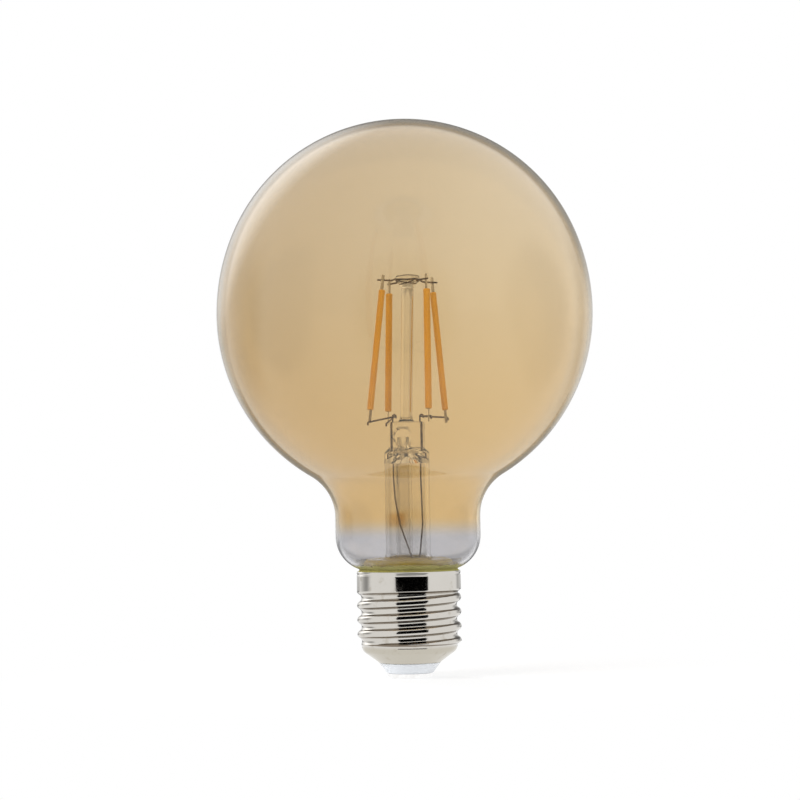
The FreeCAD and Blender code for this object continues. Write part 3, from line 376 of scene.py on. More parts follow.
def amber_glass():
    """Clear glass with an amber coat that fades out in the neck, with painted shade on its left
    side, deeper where it is seen edge-on (partly the longer path through the coat, partly a
    painted dark rim and outline), with faint blowing waves."""
    material, tree, shader = finish_of("amber_glass")
    spot = here(tree)
    height = axis_of(tree, spot, "Z")
    drift = grain(tree, spot, 14.0, 2.0)
    coated = rise(tree, height + (drift - 0.5) * 0.002, 0.0345, 0.0405)
    cloud = grain(tree, spot, 9.0, 2.0)
    low = mixed(tree, cloud, (0.79, 0.64, 0.405), (0.845, 0.7, 0.46))
    high = mixed(tree, cloud, (0.79, 0.695, 0.535), (0.86, 0.77, 0.62))
    amber = mixed(tree, rise(tree, height + drift * 0.02, 0.055, 0.135), low, high)
    # Painted shade: the left side (negative x) is darkened towards deep brown, where less light
    # falls.
    thick = 1 - rise(tree, axis_of(tree, spot, "X"), -0.05, 0.035)
    amber = mixed(tree, thick * 0.3, amber, (0.52, 0.4, 0.24))
    edge = facing(tree, 0.22)
    # Painted shade: the glass darkens where it is seen edge-on, with a painted dark line along the
    # outline. On the amber coat this also stands for the longer path through it; on the clear neck
    # it is all painted.
    painted_rim_line = rise(tree, edge, 0.5, 0.7) * 0.35
    rim = mixed(tree, edge ** 1.8 * 0.8 + painted_rim_line, amber, (0.45, 0.31, 0.14))
    clear_with_painted_edge = mixed(tree, edge ** 2.0 * 0.85 + painted_rim_line, (0.68, 0.675, 0.69), (0.3, 0.3, 0.33))
    waves = grain(tree, spot, 30.0, 2.0, (1, 1, 0.4))
    feed(
        tree,
        shader,
        Base_Color=mixed(tree, coated, clear_with_painted_edge, rim),
        Roughness=0.0,
        IOR=1.5,
        Transmission_Weight=1.0,
        Normal=bump(tree, waves, 0.04, 0.001),
    )
    let_lamps_through(tree, shader, (0.72, 0.58, 0.38), height, 0.028, 0.0286, 1.0)
    return material


def stem_glass(name, tint, wave):
    """Clear glass with draw lines along it, with painted shade where it is seen edge-on, and a
    faint ochre haze on the left of the tube in a band of its height."""
    material, tree, shader = finish_of(name)
    spot = here(tree)
    height = axis_of(tree, spot, "Z")
    lines = grain(tree, spot, 260.0, 2.0, (1, 1, 0.08))
    cloud = grain(tree, spot, 60.0, 2.0)
    body = mixed(tree, cloud, tuple(0.94 * channel for channel in tint), tint)
    # Painted shade: the tint darkened to seven tenths, laid on where the glass is seen edge-on.
    dark = tuple(0.7 * channel for channel in tint)
    left = 1 - rise(tree, axis_of(tree, spot, "X"), -0.002, 0.0005)
    haze = band(tree, height, 0.0372, 0.042, 0.0015) * left
    body = mixed(tree, haze * cloud * 0.8, body, (0.8, 0.6, 0.25))
    feed(
        tree,
        shader,
        Base_Color=mixed(tree, facing(tree, 0.3) ** 2.0 * 0.45, body, dark),
        Roughness=0.0,
        IOR=1.51,
        Transmission_Weight=1.0,
        Normal=bump(tree, lines, wave, 0.0002),
    )
    # Painted light: the cement behind the stem glass is shown 1.9 times as light.
    let_lamps_through(tree, shader, (0.93, 0.93, 0.94), height, 0.0291, 0.0298, 1.9)
    return material


def nickel():
    """Nickel plate over rolled sheet: warm, with fine rings from the roller, dull spots, painted
    dark reflection lines along the thread's flanks and painted shade on the cone below the thread."""
    material, tree, shader = finish_of("nickel_plate")
    spot = here(tree)
    height = axis_of(tree, spot, "Z")
    rings = grain(tree, spot, 900.0, 2.0, (0.02, 0.02, 1.0))
    cloud = grain(tree, spot, 120.0, 4.0)
    patch_noise = grain(tree, spot, 420.0, 5.0)
    dull = rise(tree, patch_noise, 0.56, 0.78)
    colour = mixed(tree, cloud, (0.6, 0.575, 0.53), (0.68, 0.655, 0.61))
    flat = node(tree, "ShaderNodeMapping", None, {"Vector": spot, "Scale": (1, 1, 0)})
    # Painted shade: the cone below the thread is darkened to a dull brown, standing in for the
    # shaded floor that it reflects.
    above_shaded_cone = rise(tree, height, 0.0074, 0.0084)
    colour = mixed(tree, above_shaded_cone, (0.55, 0.515, 0.44), colour)
    # Painted reflection: dark lines along the middle of the thread's flanks.
    painted_flank_lines = band(tree, length_of(tree, flat) + (patch_noise - 0.5) * 0.0002, 0.0123, 0.01285, 0.0001)
    colour = mixed(tree, painted_flank_lines * above_shaded_cone * 0.85, colour, (0.14, 0.1, 0.06))
    feed(
        tree,
        shader,
        Base_Color=mixed(tree, dull * 0.5, colour, (0.4, 0.35, 0.27)),
        Metallic=1.0,
        Roughness=0.07 + cloud * 0.07 + dull * 0.14,
        Normal=bump(tree, rings, 0.12, 0.00004),
    )
    return material


def drawn_metal(name, colour, worn, roughness, spread=0.2):
    """Drawn wire or stamped strip, with darker oxide in patches and draw lines."""
    material, tree, shader = finish_of(name)
    spot = here(tree)
    patches = grain(tree, spot, 700.0, 4.0)
    lines = grain(tree, spot, 1600.0, 2.0, (1, 1, 0.1))
    feed(
        tree,
        shader,
        Base_Color=mixed(tree, rise(tree, patches, 0.4, 0.66), colour, worn),
        Metallic=1.0,
        Roughness=roughness + patches * spread,
        Normal=bump(tree, lines, 0.1, 0.00002),
    )
    return material


def phosphor():
    """Silicone gel with phosphor: orange gold, a little lighter over each die, deeper at the
    edges, with specks of powder."""
    material, tree, shader = finish_of("phosphor")
    spot = here(tree)
    height = axis_of(tree, spot, "Z")
    speck = grain(tree, spot, 2600.0, 3.0)
    cloud = grain(tree, spot, 320.0, 3.0, (1, 1, 0.35))
    wave = height * 5890.0
    beads = wave.maths("SINE", wave)
    colour = mixed(tree, cloud, (0.78, 0.43, 0.015), (0.95, 0.6, 0.03))
    colour = mixed(tree, rise(tree, beads, 0.1, 1.0) * 0.22, colour, (0.96, 0.68, 0.08))
    colour = mixed(tree, facing(tree, 0.35) * 0.4, colour, (0.72, 0.36, 0.03))
    feed(
        tree,
        shader,
        Base_Color=mixed(tree, speck * 0.25, colour, (0.62, 0.3, 0.02)),
        Roughness=0.42 + cloud * 0.12,
        Coat_Weight=0.08,
        Coat_Roughness=0.2,
        Normal=bump(tree, speck, 0.25, 0.00006),
    )
    return material


def cement():
    """Olive basing cement: grainy, with paler crumbs."""
    material, tree, shader = finish_of("basing_cement")
    spot = here(tree)
    crumbs = grain(tree, spot, 1400.0, 5.0)
    cloud = grain(tree, spot, 260.0, 3.0)
    colour = mixed(tree, cloud, (0.24, 0.23, 0.05), (0.38, 0.37, 0.11))
    feed(
        tree,
        shader,
        Base_Color=mixed(tree, rise(tree, crumbs, 0.55, 0.72) * 0.7, colour, (0.52, 0.5, 0.22)),
        Roughness=0.62 + crumbs * 0.25,
        Normal=bump(tree, crumbs, 0.6, 0.0002),
    )
    return material


def moulded(name, colour, other, scale, low, high, depth=0.2):
    """A moulded, glazed or lacquered surface whose colour and gloss drift a little."""
    material, tree, shader = finish_of(name)
    spot = here(tree)
    cloud = grain(tree, spot, scale, 4.0)
    fine = grain(tree, spot, scale * 9, 3.0)
    feed(
        tree,
        shader,
        Base_Color=mixed(tree, cloud, colour, other),
        Roughness=low + fine * (high - low),
        Normal=bump(tree, fine, depth, 0.00004),
    )
    return material


AMBER = amber_glass()
STEM = stem_glass("stem_glass", (0.99, 0.98, 0.96), 0.06)
ROD = stem_glass("rod_glass", (0.98, 0.965, 0.93), 0.05)
NICKEL = nickel()
WIRE = drawn_metal("lead_metal", (0.24, 0.18, 0.12), (0.1, 0.07, 0.05), 0.3)
TAB = drawn_metal("tab_metal", (0.8, 0.75, 0.64), (0.6, 0.54, 0.43), 0.28)
CONTACT = drawn_metal("contact_metal", (0.985, 0.98, 0.975), (0.94, 0.93, 0.92), 0.06, 0.08)
PHOSPHOR = phosphor()
CEMENT = cement()
GLAZE = moulded("insulator_glaze", (0.62, 0.645, 0.68), (0.68, 0.705, 0.74), 90, 0.15, 0.3)
CERAMIC = moulded("carrier_ceramic", (0.8, 0.8, 0.76), (0.88, 0.88, 0.85), 300, 0.4, 0.6)
DIE = moulded("led_die", (0.2, 0.26, 0.42), (0.3, 0.36, 0.5), 900, 0.1, 0.25, 0.05)
BOARD = moulded("circuit_board", (0.03, 0.16, 0.07), (0.05, 0.22, 0.1), 150, 0.35, 0.55)
BLACK = moulded("black_moulding", (0.02, 0.02, 0.02), (0.05, 0.05, 0.05), 400, 0.45, 0.7, 0.4)
SLEEVE = moulded("capacitor_sleeve", (0.03, 0.03, 0.05), (0.06, 0.06, 0.09), 200, 0.2, 0.4)
ENAMEL = moulded("resistor_enamel", (0.09, 0.26, 0.3), (0.13, 0.33, 0.37), 300, 0.3, 0.5, 0.35)
PVC = moulded("wire_sleeve", (0.6, 0.57, 0.5), (0.7, 0.67, 0.6), 300, 0.35, 0.5)


# Globe and stem

def globe_corners(inset):
    """The wall's side from pole to mouth by tangent arcs: crown, upper side, ball, neck
    fillet, straight neck, shoulder and mouth."""
    shift = CROWN_SIDE - GLOBE_R
    slack = CROWN_SIDE - CROWN_RISE
    lift = (shift * shift - slack * slack) / (2 * slack)
    crown = CROWN_RISE - lift
    share = CROWN_SIDE / (CROWN_SIDE - crown)
    pull = (CROWN_SIDE - inset) / CROWN_SIDE
    far = NECK_R + NECK_FILLET
    both = GLOBE_R + NECK_FILLET
    drop = math.sqrt(both**2 - far**2)
    neck_z = GLOBE_Z - drop
    shoulder_z = neck_z - NECK_LENGTH
    middle = NECK_R - SHOULDER_ROUND
    mouth_far = MOUTH_R + MOUTH_FILLET
    low = SHOULDER_ROUND + MOUTH_FILLET
    mouth_z = shoulder_z - math.sqrt(low**2 - (mouth_far - middle) ** 2)
    ball = GLOBE_R - inset
    part, low_part = ball / both, (SHOULDER_ROUND - inset) / low
    low_x = middle + (mouth_far - middle) * low_part
    low_z = shoulder_z - (shoulder_z - mouth_z) * low_part
    meet_x = shift * (share - 1) * pull - shift * (1 - pull)
    return [
        (0, GLOBE_Z + lift + crown - inset),
        (meet_x, GLOBE_Z + lift * share * pull, crown - inset, 0, GLOBE_Z + lift),
        (ball, GLOBE_Z, CROWN_SIDE - inset, -shift, GLOBE_Z),
        (far * part, GLOBE_Z - drop * part, ball, 0, GLOBE_Z),
        (NECK_R - inset, neck_z, NECK_FILLET + inset, far, neck_z),
        (NECK_R - inset, shoulder_z),
        (low_x, low_z, SHOULDER_ROUND - inset, middle, shoulder_z),
        (MOUTH_R - inset, mouth_z, MOUTH_FILLET + inset, mouth_far, mouth_z),
        (MOUTH_R - inset, SEAL_Z),
    ]


def make_globe():
    """The outer wall from pole to mouth and back up the inner wall to its own pole."""
    walls = [trace(globe_corners(0.0), 1.6), trace(globe_corners(GLOBE_WALL), 1.6)[::-1]]
    grid = spun(np.vstack(walls), 192)
    skin("globe_glass", [grid], AMBER, ["globe_envelope"])


def press_rows(angle):
    """From the top of the press down to the tube: the flat bar's edge is rounded, and its
    section goes over to the tube's circle in a short shoulder by a smooth share of both."""
    wide, thick = PRESS_WIDTH / 2, PRESS_THICK / 2
    edge = np.radians(np.linspace(0, 90, 6))[:, None]
    inset = PRESS_ROUND * (1 - np.sin(edge))
    top = flat_bar(wide, thick, angle) - inset
    top_z = PRESS_TOP - PRESS_ROUND * (1 - np.cos(edge)) + 0 * top
    share = np.linspace(0, 1, 40)[:, None]
    soft = smooth(share * 2.6)
    lower = flat_bar(wide, thick, angle) * (1 - soft) + STEM_R * soft
    lower_z = PRESS_FOOT - (PRESS_FOOT - TUBE_TOP) * share + 0 * lower
    return np.vstack([top, lower]), np.vstack([top_z, lower_z])


def stem_side(inset, tube_top):
    """One side of the flared tube from its top to the bell's rim."""
    tube, top, fillet = STEM_R - inset, FLARE_Z - inset, FLARE_FILLET + inset
    bell = MOUTH_R - GLOBE_WALL - SEAL_GAP - inset
    bend = FLARE_ROUND - inset
    return [
        (tube, tube_top),
        (tube, top + fillet),
        (tube + fillet, top, fillet, tube + fillet, top + fillet),
        (bell - bend, top),
        (bell, top - bend, bend, bell - bend, top - bend),
    ]


def port_cutter():
    """The round port through the press and its passage up from the exhaust tube."""
    step = np.linspace(-PRESS_THICK, PRESS_THICK, 9)[:, None]
    angle = turns(48)
    across = EXHAUST_X + PORT_R * np.cos(angle)
    up = PORT_Z + PORT_R * np.sin(angle)
    port = np.stack([across + 0 * step, step + 0 * angle, up + 0 * step], axis=-1)
    bore = EXHAUST_R - EXHAUST_WALL
    passage = spun(np.array([(bore, EXHAUST_TOP - 1), (bore, PORT_Z)]), 48)
    return [port, passage + (EXHAUST_X, 0, 0)]


def make_stem():
    """Press, shoulder and flared tube in one skin with their bore, and the port cut through."""
    angle = turns(160)
    radius, height = press_rows(angle)
    upper = np.stack([radius * np.cos(angle), radius * np.sin(angle), height], axis=-1)
    foot = SEAL_Z - STEM_WALL
    rim = [(MOUTH_R, SEAL_Z), (MOUTH_R, foot)]
    outside = stem_side(0.0, TUBE_TOP - 0.2) + [(MOUTH_R - GLOBE_WALL - SEAL_GAP, SEAL_Z)] + rim
    bore = STEM_R - STEM_WALL
    bell = MOUTH_R - GLOBE_WALL - SEAL_GAP - STEM_WALL
    vault = EXHAUST_TOP - (bore - EXHAUST_R)
    inside = [(EXHAUST_R, EXHAUST_TOP)] + stem_side(STEM_WALL, vault) + [(bell, foot)]
    lower = spun(np.vstack([trace(outside), trace(inside)[::-1]]), 160)
    grids = [np.concatenate([upper, lower])]
    stem = skin("stem_glass", grids, STEM, ["stem_flare"])
    cutter = skin("port_cutter", port_cutter(), STEM, None)
    cut = stem.modifiers.new("port", "BOOLEAN")
    cut.object = cutter
    bpy.context.view_layer.update()
    seen = stem.evaluated_get(bpy.context.evaluated_depsgraph_get())
    mesh = bpy.data.meshes.new_from_object(seen)
    stem.modifiers.clear()
    stem.data = mesh
    bpy.data.objects.remove(cutter)


def make_exhaust_tube():
    """A tube shut by a half ball at its tip: outside and bore are spun round its own axis."""
    tip = EXHAUST_TIP + EXHAUST_R
    bore = EXHAUST_R - EXHAUST_WALL
    outside = [(EXHAUST_R, EXHAUST_TOP), (EXHAUST_R, tip), (0.02, EXHAUST_TIP, EXHAUST_R, 0, tip)]
    inside = [(bore, EXHAUST_TOP), (bore, tip), (0.02, tip - bore, bore, 0, tip)]
    around = np.vstack([trace(inside)[::-1], trace(outside)])
    grid = spun(around, 64) + (EXHAUST_X, 0, 0)
    skin("exhaust_glass", [grid], STEM, ["exhaust_tube"])


def make_rod():
    """The rod leans by a steady step in x. Its foot flows out by a power of the share that is
    left, and its top widens to the button by a power of the share of the height."""
    share = np.linspace(0, 1, 12)
    foot_r = ROD_R + (ROD_FOOT_R - ROD_R) * (1 - share) ** ROD_FOOT_POWER
    foot = np.column_stack([foot_r, PRESS_TOP + ROD_FOOT * share])
    shank = np.column_stack([0 * share[1:] + ROD_R, np.linspace(foot[-1, 1], ROD_TOP, 12)[1:]])
    flare_r = ROD_R + (BUTTON_R - ROD_R) * share**BUTTON_POWER
    flare = np.column_stack([flare_r, ROD_TOP + BUTTON_FLARE * share])
    side = ROD_TOP + BUTTON_FLARE + BUTTON_SIDE
    middle = BUTTON_R - BUTTON_ROUND
    head = trace([(BUTTON_R, side), (middle, side + BUTTON_ROUND, BUTTON_ROUND, middle, side)], 8)
    profile = np.vstack([foot, shank, flare[1:], head])
    lean = np.clip((profile[:, 1] - PRESS_TOP) / (ROD_TOP - PRESS_TOP), 0, 1) * BRIDGE_X
    grid = spun(profile, 96)
    grid[..., 0] += lean[:, None]
    skin("support_rod_glass", [grid], ROD, ["support_rod"])


# Wires

def level(angle, radius=1.0, height=0.0):
    """A place by its angle in degrees, its radius and its height."""
    turned = math.radians(angle)
    return np.array([radius * math.cos(turned), radius * math.sin(turned), height])


def side_step(radius):
    """From the middle of a tab to the middle of the wire welded on its face."""
    return radius + TAB_THICK / 2 + WELD


def filament_head(index):
    """The top of a filament, beside the bridge wire that its tab lies on."""
    angle = HEAD_TURN + FILAMENT_STEP * index
    aside = level(angle + 90, side_step(BRIDGE_WIRE))
    return level(angle, HEAD_SPREAD, HEAD_Z) + aside + (BRIDGE_X, 0, 0)


def filament_foot(index):
    """The lower end of a filament."""
    return level(FOOT_TURN + FILAMENT_STEP * index, FOOT_SPREAD, FOOT_Z) + (FOOT_X, 0, 0)


def side_of(index):
    """-1 for the filaments on the left lead, 1 for those on the right."""
    return -1 if filament_foot(index)[0] < 0 else 1


BAR_TOUCH = LEAD_R + BAR_R + WELD


def bar_opening(side):
    """The middle direction of a bar's V seen from its lead, and half the V's angle."""
    arms = []
    for index in range(FILAMENTS):
        if side_of(index) == side:
            foot = filament_foot(index)
            arm = np.array([foot[0] - side * LEAD_X, foot[1], 0])
            arms.append(arm / np.linalg.norm(arm))
    middle = arms[0] + arms[1]
    return middle / np.linalg.norm(middle), math.acos(arms[0] @ arms[1]) / 2


def bar_corner(side):
    """The corner of a bar, set so that its inner or outer bend lies on the lead."""
    outward, half = bar_opening(side)
    lead = np.array([side * LEAD_X, 0, BAR_Z])
    return lead + outward * ((side + 1) * BAR_TOUCH - BAR_TOUCH / math.sin(half))


def bar_direction(index):
    """Along the bar's arm, which passes the foot at one wire's distance and drops a little."""
    side = side_of(index)
    flat = (filament_foot(index) - bar_corner(side))[:2]
    reach = math.hypot(*flat)
    aside = math.degrees(math.asin(side_step(BAR_R) / reach))
    turned = math.degrees(math.atan2(flat[1], flat[0])) + aside
    way = level(turned) - (0, 0, BAR_DROPS[side] / reach)
    return way / np.linalg.norm(way)


def make_bridge():
    """Two wires that cross in the button, each a low arch with straight ends."""
    centre = np.array([BRIDGE_X, 0, BRIDGE_Z + BRIDGE_ARCH])
    down = np.array([0, 0, -BRIDGE_ARCH])
    reach, grip = HEAD_SPREAD + BRIDGE_OVER, BUTTON_R + WIRE_BEND
    slope = grip + BRIDGE_SLOPE
    grids = []
    for index in (0, 1):
        out = level(HEAD_TURN + FILAMENT_STEP * index)
        path = [
            centre - out * reach + down,
            centre - out * slope + down,
            centre - out * grip,
            centre + out * grip,
            centre + out * slope + down,
            centre + out * reach + down,
        ]
        grids.append(wire(bent(path, [WIRE_BEND] * 4), BRIDGE_WIRE))
    skin("bridge_wires", grids, WIRE, ["top_bridge_wire"])


def make_bar(name, side):
    """A wire in a V with its corner on the lead and both ends turned down."""
    corner = bar_corner(side)
    ends = []
    for index in range(FILAMENTS):
        if side_of(index) == side:
            length = np.linalg.norm(filament_foot(index) - corner) + BAR_OVER
            ends.append(corner + bar_direction(index) * length)
    down = np.array([0, 0, -BAR_HOOK])
    path = [ends[0] + down, ends[0], corner, ends[1], ends[1] + down]
    grid = wire(bent(path, [HOOK_BEND, BAR_TOUCH, HOOK_BEND]), BAR_R)
    skin(name + "_wire", [grid], WIRE, [name])


def make_leads():
    """Each lead rises from the board through the press and ends in a hook over its bar."""
    clear = LEAD_CLEAR
    left = [
        (clear, -clear, BOARD_TOP),
        (clear, -clear, CEMENT_FOOT),
        (LEAD_FLARE_X, -clear, FLARE_Z),
        (-LEAD_PASS_X, -clear, PASS_Z),
        (-LEAD_EASE_X, -clear / 2, EASE_Z),
        (-LEAD_X, 0, STRAIGHT_Z),
    ]
    right = [
        (LEAD_X - 2 * LEAD_SWAY, 0, BOARD_TOP),
        (LEAD_X - 2 * LEAD_SWAY, 0, FLARE_Z),
        (LEAD_X + LEAD_SWAY, 0, PASS_Z),
        (LEAD_X, 0, STRAIGHT_Z),
    ]
    for name, path, side in (("left_lead_wire", left, -1), ("right_lead_wire", right, 1)):
        start = np.array([side * LEAD_X, 0, BAR_Z + BAR_R + LEAD_R + 2 * WELD])
        across = start + bar_opening(side)[0] * 2 * side * BAR_TOUCH
        down = np.array([0, 0, -HOOK_LENGTH - BAR_TOUCH])
        bends = [LEAD_BEND] * (len(path) - 1) + [HOOK_BEND] * 2
        grid = wire(bent(path + [start, across, across + down], bends), LEAD_R)
        skin(name + "_skin", [grid], WIRE, [name])


# Filaments

def bar_rows(half_width, half_thickness, rows):
    """Sections of a flat bar at (inset, height) rows, in the bar's own frame."""
    angle = turns(40)
    radius = flat_bar(half_width, half_thickness, angle) - rows[:, :1]
    height = rows[:, 1:] + 0 * radius
    return np.stack([radius * np.cos(angle), radius * np.sin(angle), height], axis=-1)


def make_filament(index):
    """The coating's ends are rounded, and its skin swells and narrows by slow waves. The tabs
    are flat strips turned along the wires that they are welded to."""
    name = f"filament_{index + 1}"
    foot, head = filament_foot(index), filament_head(index)
    length = np.linalg.norm(head - foot)
    up = (head - foot) / length
    out = np.array([foot[0], foot[1], 0])
    out = out - up * (out @ up)
    out /= np.linalg.norm(out)
    across = np.cross(out, up)
    turned = np.radians(np.linspace(0, 90, 7))
    inset = COAT_ROUND * (1 - np.sin(turned))
    end = COAT_ROUND * (1 - np.cos(turned))
    middle = np.linspace(COAT_ROUND, length - COAT_ROUND, 70)[1:-1]
    wave = COAT_WAVE * (1 + np.sin(middle * 0.9 + index)) + COAT_WAVE * (1 + np.sin(middle * 2.3))
    rows = np.column_stack(
        [
            np.concatenate([inset, wave, inset[::-1]]),
            np.concatenate([end, middle, length - end[::-1]]),
        ]
    )
    local = bar_rows(COAT_WIDE / 2, COAT_THICK / 2, rows)
    grid = placed(local, foot, across, out, up)
    skin(name + "_gel", [grid], PHOSPHOR, [name + "_coating"])
    arm = np.array([BRIDGE_X, 0, BRIDGE_Z])
    way = level(HEAD_TURN + FILAMENT_STEP * index)
    make_tab(name + "_top_tab", HEAD_TAB, head, up, arm, way, BRIDGE_WIRE)
    corner = bar_corner(side_of(index))
    make_tab(name + "_bottom_tab", FOOT_TAB, foot, -up, corner, bar_direction(index), BAR_R)


def make_tab(name, length, end, away, wire_point, wire_way, radius):
    """A strip whose face lies along its wire, with rounded sides and end corners."""
    along = wire_way - away * (wire_way @ away)
    along /= np.linalg.norm(along)
    face = np.cross(away, along)
    gap = face @ (wire_point - end)
    shift = gap - math.copysign(side_step(radius), gap)
    corner = np.linspace(0, 90, 6)
    bend = TAB_THICK / 3
    inset = bend * (1 - np.sin(np.radians(corner)))
    rise_up = bend * (1 - np.cos(np.radians(corner)))
    rows = np.column_stack(
        [np.concatenate([inset, inset[::-1]]), np.concatenate([rise_up, length - rise_up[::-1]])]
    )
    local = bar_rows(TAB_WIDE / 2, TAB_THICK / 2, rows)
    grid = placed(local, end + face * shift, along, face, away)
    skin(name + "_strip", [grid], TAB, [name])


# Cap

def rolled(height, angle, inset):
    """Radius of the rolled thread: crest and root arcs of one radius meet half way along a
    right-hand helix, which runs out to the root at the foot and to the crest at the skirt."""
    turn_share = (height - PHASE) / PITCH - angle / (2 * np.pi)
    offset = np.abs(turn_share - np.round(turn_share)) * PITCH
    near = THREAD_ROUND - np.sqrt(THREAD_ROUND**2 - np.minimum(offset, PITCH / 4) ** 2)
    beyond = np.minimum(PITCH / 2 - offset, PITCH / 4)
    far = THREAD_ROUND - np.sqrt(THREAD_ROUND**2 - beyond**2)
    wave = np.where(offset <= PITCH / 4, THREAD_DEPTH - near, far)
    head = smooth((height - THREAD_HEAD) / RUNOUT + 1)
    foot = smooth((height - THREAD_FOOT) / RUNOUT)
    return ROOT_R + wave * foot + (THREAD_DEPTH - wave) * head - inset


def cone_slope():
    """The cone's angle off the axis: its side leaves the arc as a tangent and meets the lip."""
    across = ROOT_R - CONE_ROUND - LIP_R
    down = THREAD_FOOT - LIP_Z
    return math.atan2(across, down) + math.asin(CONE_ROUND / math.hypot(across, down))


def shell_side(inset, rows, angle):
    """Skirt, rolled thread, arc and cone of one side of the sheet, from the rim down. The
    outside of the skirt draws in by a square towards the rim, over a dip shaped like a bell."""
    slope = cone_slope()
    edge = SHELL_EDGE if inset == 0 else 0
    skirt = np.linspace(RIM_Z - edge, THREAD_HEAD, 50)[:-1, None] + 0 * angle
    depth = RIM_Z - skirt
    lip = BEAD_IN * np.clip(1 - depth / BEAD_DEPTH, 0, 1) ** 2
    bead = lip + DIP_IN * np.exp(-(((depth - DIP_DEPTH) / DIP_SPREAD) ** 2))
    thread = np.linspace(THREAD_HEAD, THREAD_FOOT, rows)[:, None] + 0 * angle
    turned = np.linspace(0, slope, 10)[1:, None] + 0 * angle
    centre = ROOT_R - CONE_ROUND
    arc_r = centre + (CONE_ROUND - inset) * np.cos(turned)
    arc_z = THREAD_FOOT - (CONE_ROUND - inset) * np.sin(turned)
    share = np.linspace(0, 1, 7)[1:, None] + 0 * angle
    cone_z = arc_z[-1] + (LIP_Z + edge - arc_z[-1]) * share
    cone_r = arc_r[-1] - np.tan(slope) * (arc_z[-1] - cone_z)
    bead = bead if inset == 0 else 0 * bead
    radius = [CREST_R - inset - bead, rolled(thread, angle, inset), arc_r, cone_r]
    return np.vstack(radius), np.vstack([skirt, thread, arc_z, cone_z])


def make_shell():
    """Down the outside and back up the inside, with a small round at the rim and the lip."""
    angle = turns(200)
    outer_r, outer_z = shell_side(0.0, 150, angle)
    inner_r, inner_z = shell_side(SHELL_WALL, 60, angle)
    turned = np.radians(np.linspace(90, 15, 5))[:, None] + 0 * angle
    rim_r = outer_r[0] - SHELL_EDGE * (1 - np.cos(turned))
    rim_z = RIM_Z - SHELL_EDGE * (1 - np.sin(turned))
    lip_r = outer_r[-1] - SHELL_EDGE * (1 - np.cos(turned[::-1]))
    lip_z = LIP_Z + SHELL_EDGE * (1 - np.sin(turned[::-1]))
    radius = np.vstack([rim_r, outer_r, lip_r, inner_r[::-1]])
    height = np.vstack([rim_z, outer_z, lip_z, inner_z[::-1]])
    grid = np.stack([radius * np.cos(angle), radius * np.sin(angle), height], axis=-1)
    skin("rolled_shell", [grid], NICKEL, ["screw_shell"], ring=True)


def make_cement():
    """A ring round the glass mouth, drawn up a little where it wets the glass."""
    skirt = CREST_R - SHELL_WALL - CEMENT_GAP
    mouth = MOUTH_R + CEMENT_GAP
    trough = SEAL_Z - STEM_WALL - CEMENT_GAP
    bell = MOUTH_R - GLOBE_WALL - SEAL_GAP - STEM_WALL - CEMENT_GAP
    top = FLARE_Z - STEM_WALL - CEMENT_GAP
    bend = FLARE_ROUND - STEM_WALL - CEMENT_GAP
    profile = trace(
        [
            (CEMENT_BORE, CEMENT_FOOT),
            (skirt, CEMENT_FOOT),
            (skirt, RIM_Z - 0.05),
            (skirt - 0.12, RIM_Z + 0.1),
            (mouth + 0.06, RIM_Z + 0.28),
            (mouth, RIM_Z + 0.22),
            (mouth, trough),
            (bell, trough),
            (bell, top - bend),
            (bell - bend, top, bend, bell - bend, top - bend),
            (CEMENT_BORE, top),
        ],
        12,
    )
    skin("cement_ring", [spun(profile, 160)], CEMENT, ["basing_cement"], ring=True)


def make_insulator():
    """The glazed plug: a flat foot with a rounded edge, a cone to the lip and a tail inside."""
    slope = cone_slope()
    side = shell_side(SHELL_WALL, 60, np.zeros(1))[0][-1, 0] - FIT / math.cos(slope)
    bore, foot, soft = PIN_R + FIT, CONTACT_THICK, 0.3
    profile = trace(
        [
            (bore, foot),
            (INSULATOR_R - soft, foot),
            (INSULATOR_R, foot + soft * 0.9, soft, INSULATOR_R - soft, foot + soft),
            (LIP_R - FIT - 0.1, LIP_Z - FIT - 0.2),
            (LIP_R - FIT - 0.2, LIP_Z - FIT),
            (side, LIP_Z - FIT),
            (side, LIP_Z),
            (side + (INSULATOR_TOP - LIP_Z) * math.tan(slope), INSULATOR_TOP),
            (bore, INSULATOR_TOP),
        ],
        15,
    )
    grid = spun(profile, 128)
    skin("glazed_plug", [grid], GLAZE, ["base_insulator"], ring=True)


def make_contact():
    """A pressed disc: flat foot, rounded edge, flat back and the pin."""
    edge = CONTACT_R - CONTACT_ROUND
    profile = trace(
        [
            (edge, 0),
            (CONTACT_R, CONTACT_ROUND, CONTACT_ROUND, edge, CONTACT_ROUND),
            (CONTACT_R, CONTACT_THICK - 0.1),
            (CONTACT_R - 0.1, CONTACT_THICK),
            (PIN_R, CONTACT_THICK),
            (PIN_R, PIN_TOP - 0.3),
            (PIN_R - 0.3, PIN_TOP, 0.3, PIN_R - 0.3, PIN_TOP - 0.3),
        ],
        12,
    )
    skin("contact_disc", [spun(profile, 128)], CONTACT, ["centre_contact"])


make_globe()
make_stem()
make_exhaust_tube()
make_rod()
make_bridge()
make_bar("left_support_bar", -1)
make_bar("right_support_bar", 1)
make_leads()
for index in range(FILAMENTS):
    make_filament(index)
make_shell()
make_cement()
make_insulator()
make_contact()

INSIDE = {
    "strip": CERAMIC,
    "dies": DIE,
    "driver_board": BOARD,
    "bridge_rectifier": BLACK,
    "driver_chip": BLACK,
    "sense_resistors": BLACK,
    "smoothing_capacitor": SLEEVE,
    "fusible_resistor": ENAMEL,
    "live_wire": PVC,
    "neutral_wire": PVC,
}
for label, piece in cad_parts.items():
    for ending, material in INSIDE.items():
        if label.endswith(ending):
            for slot in piece.material_slots:
                slot.material = material


# Floor, lamps and camera

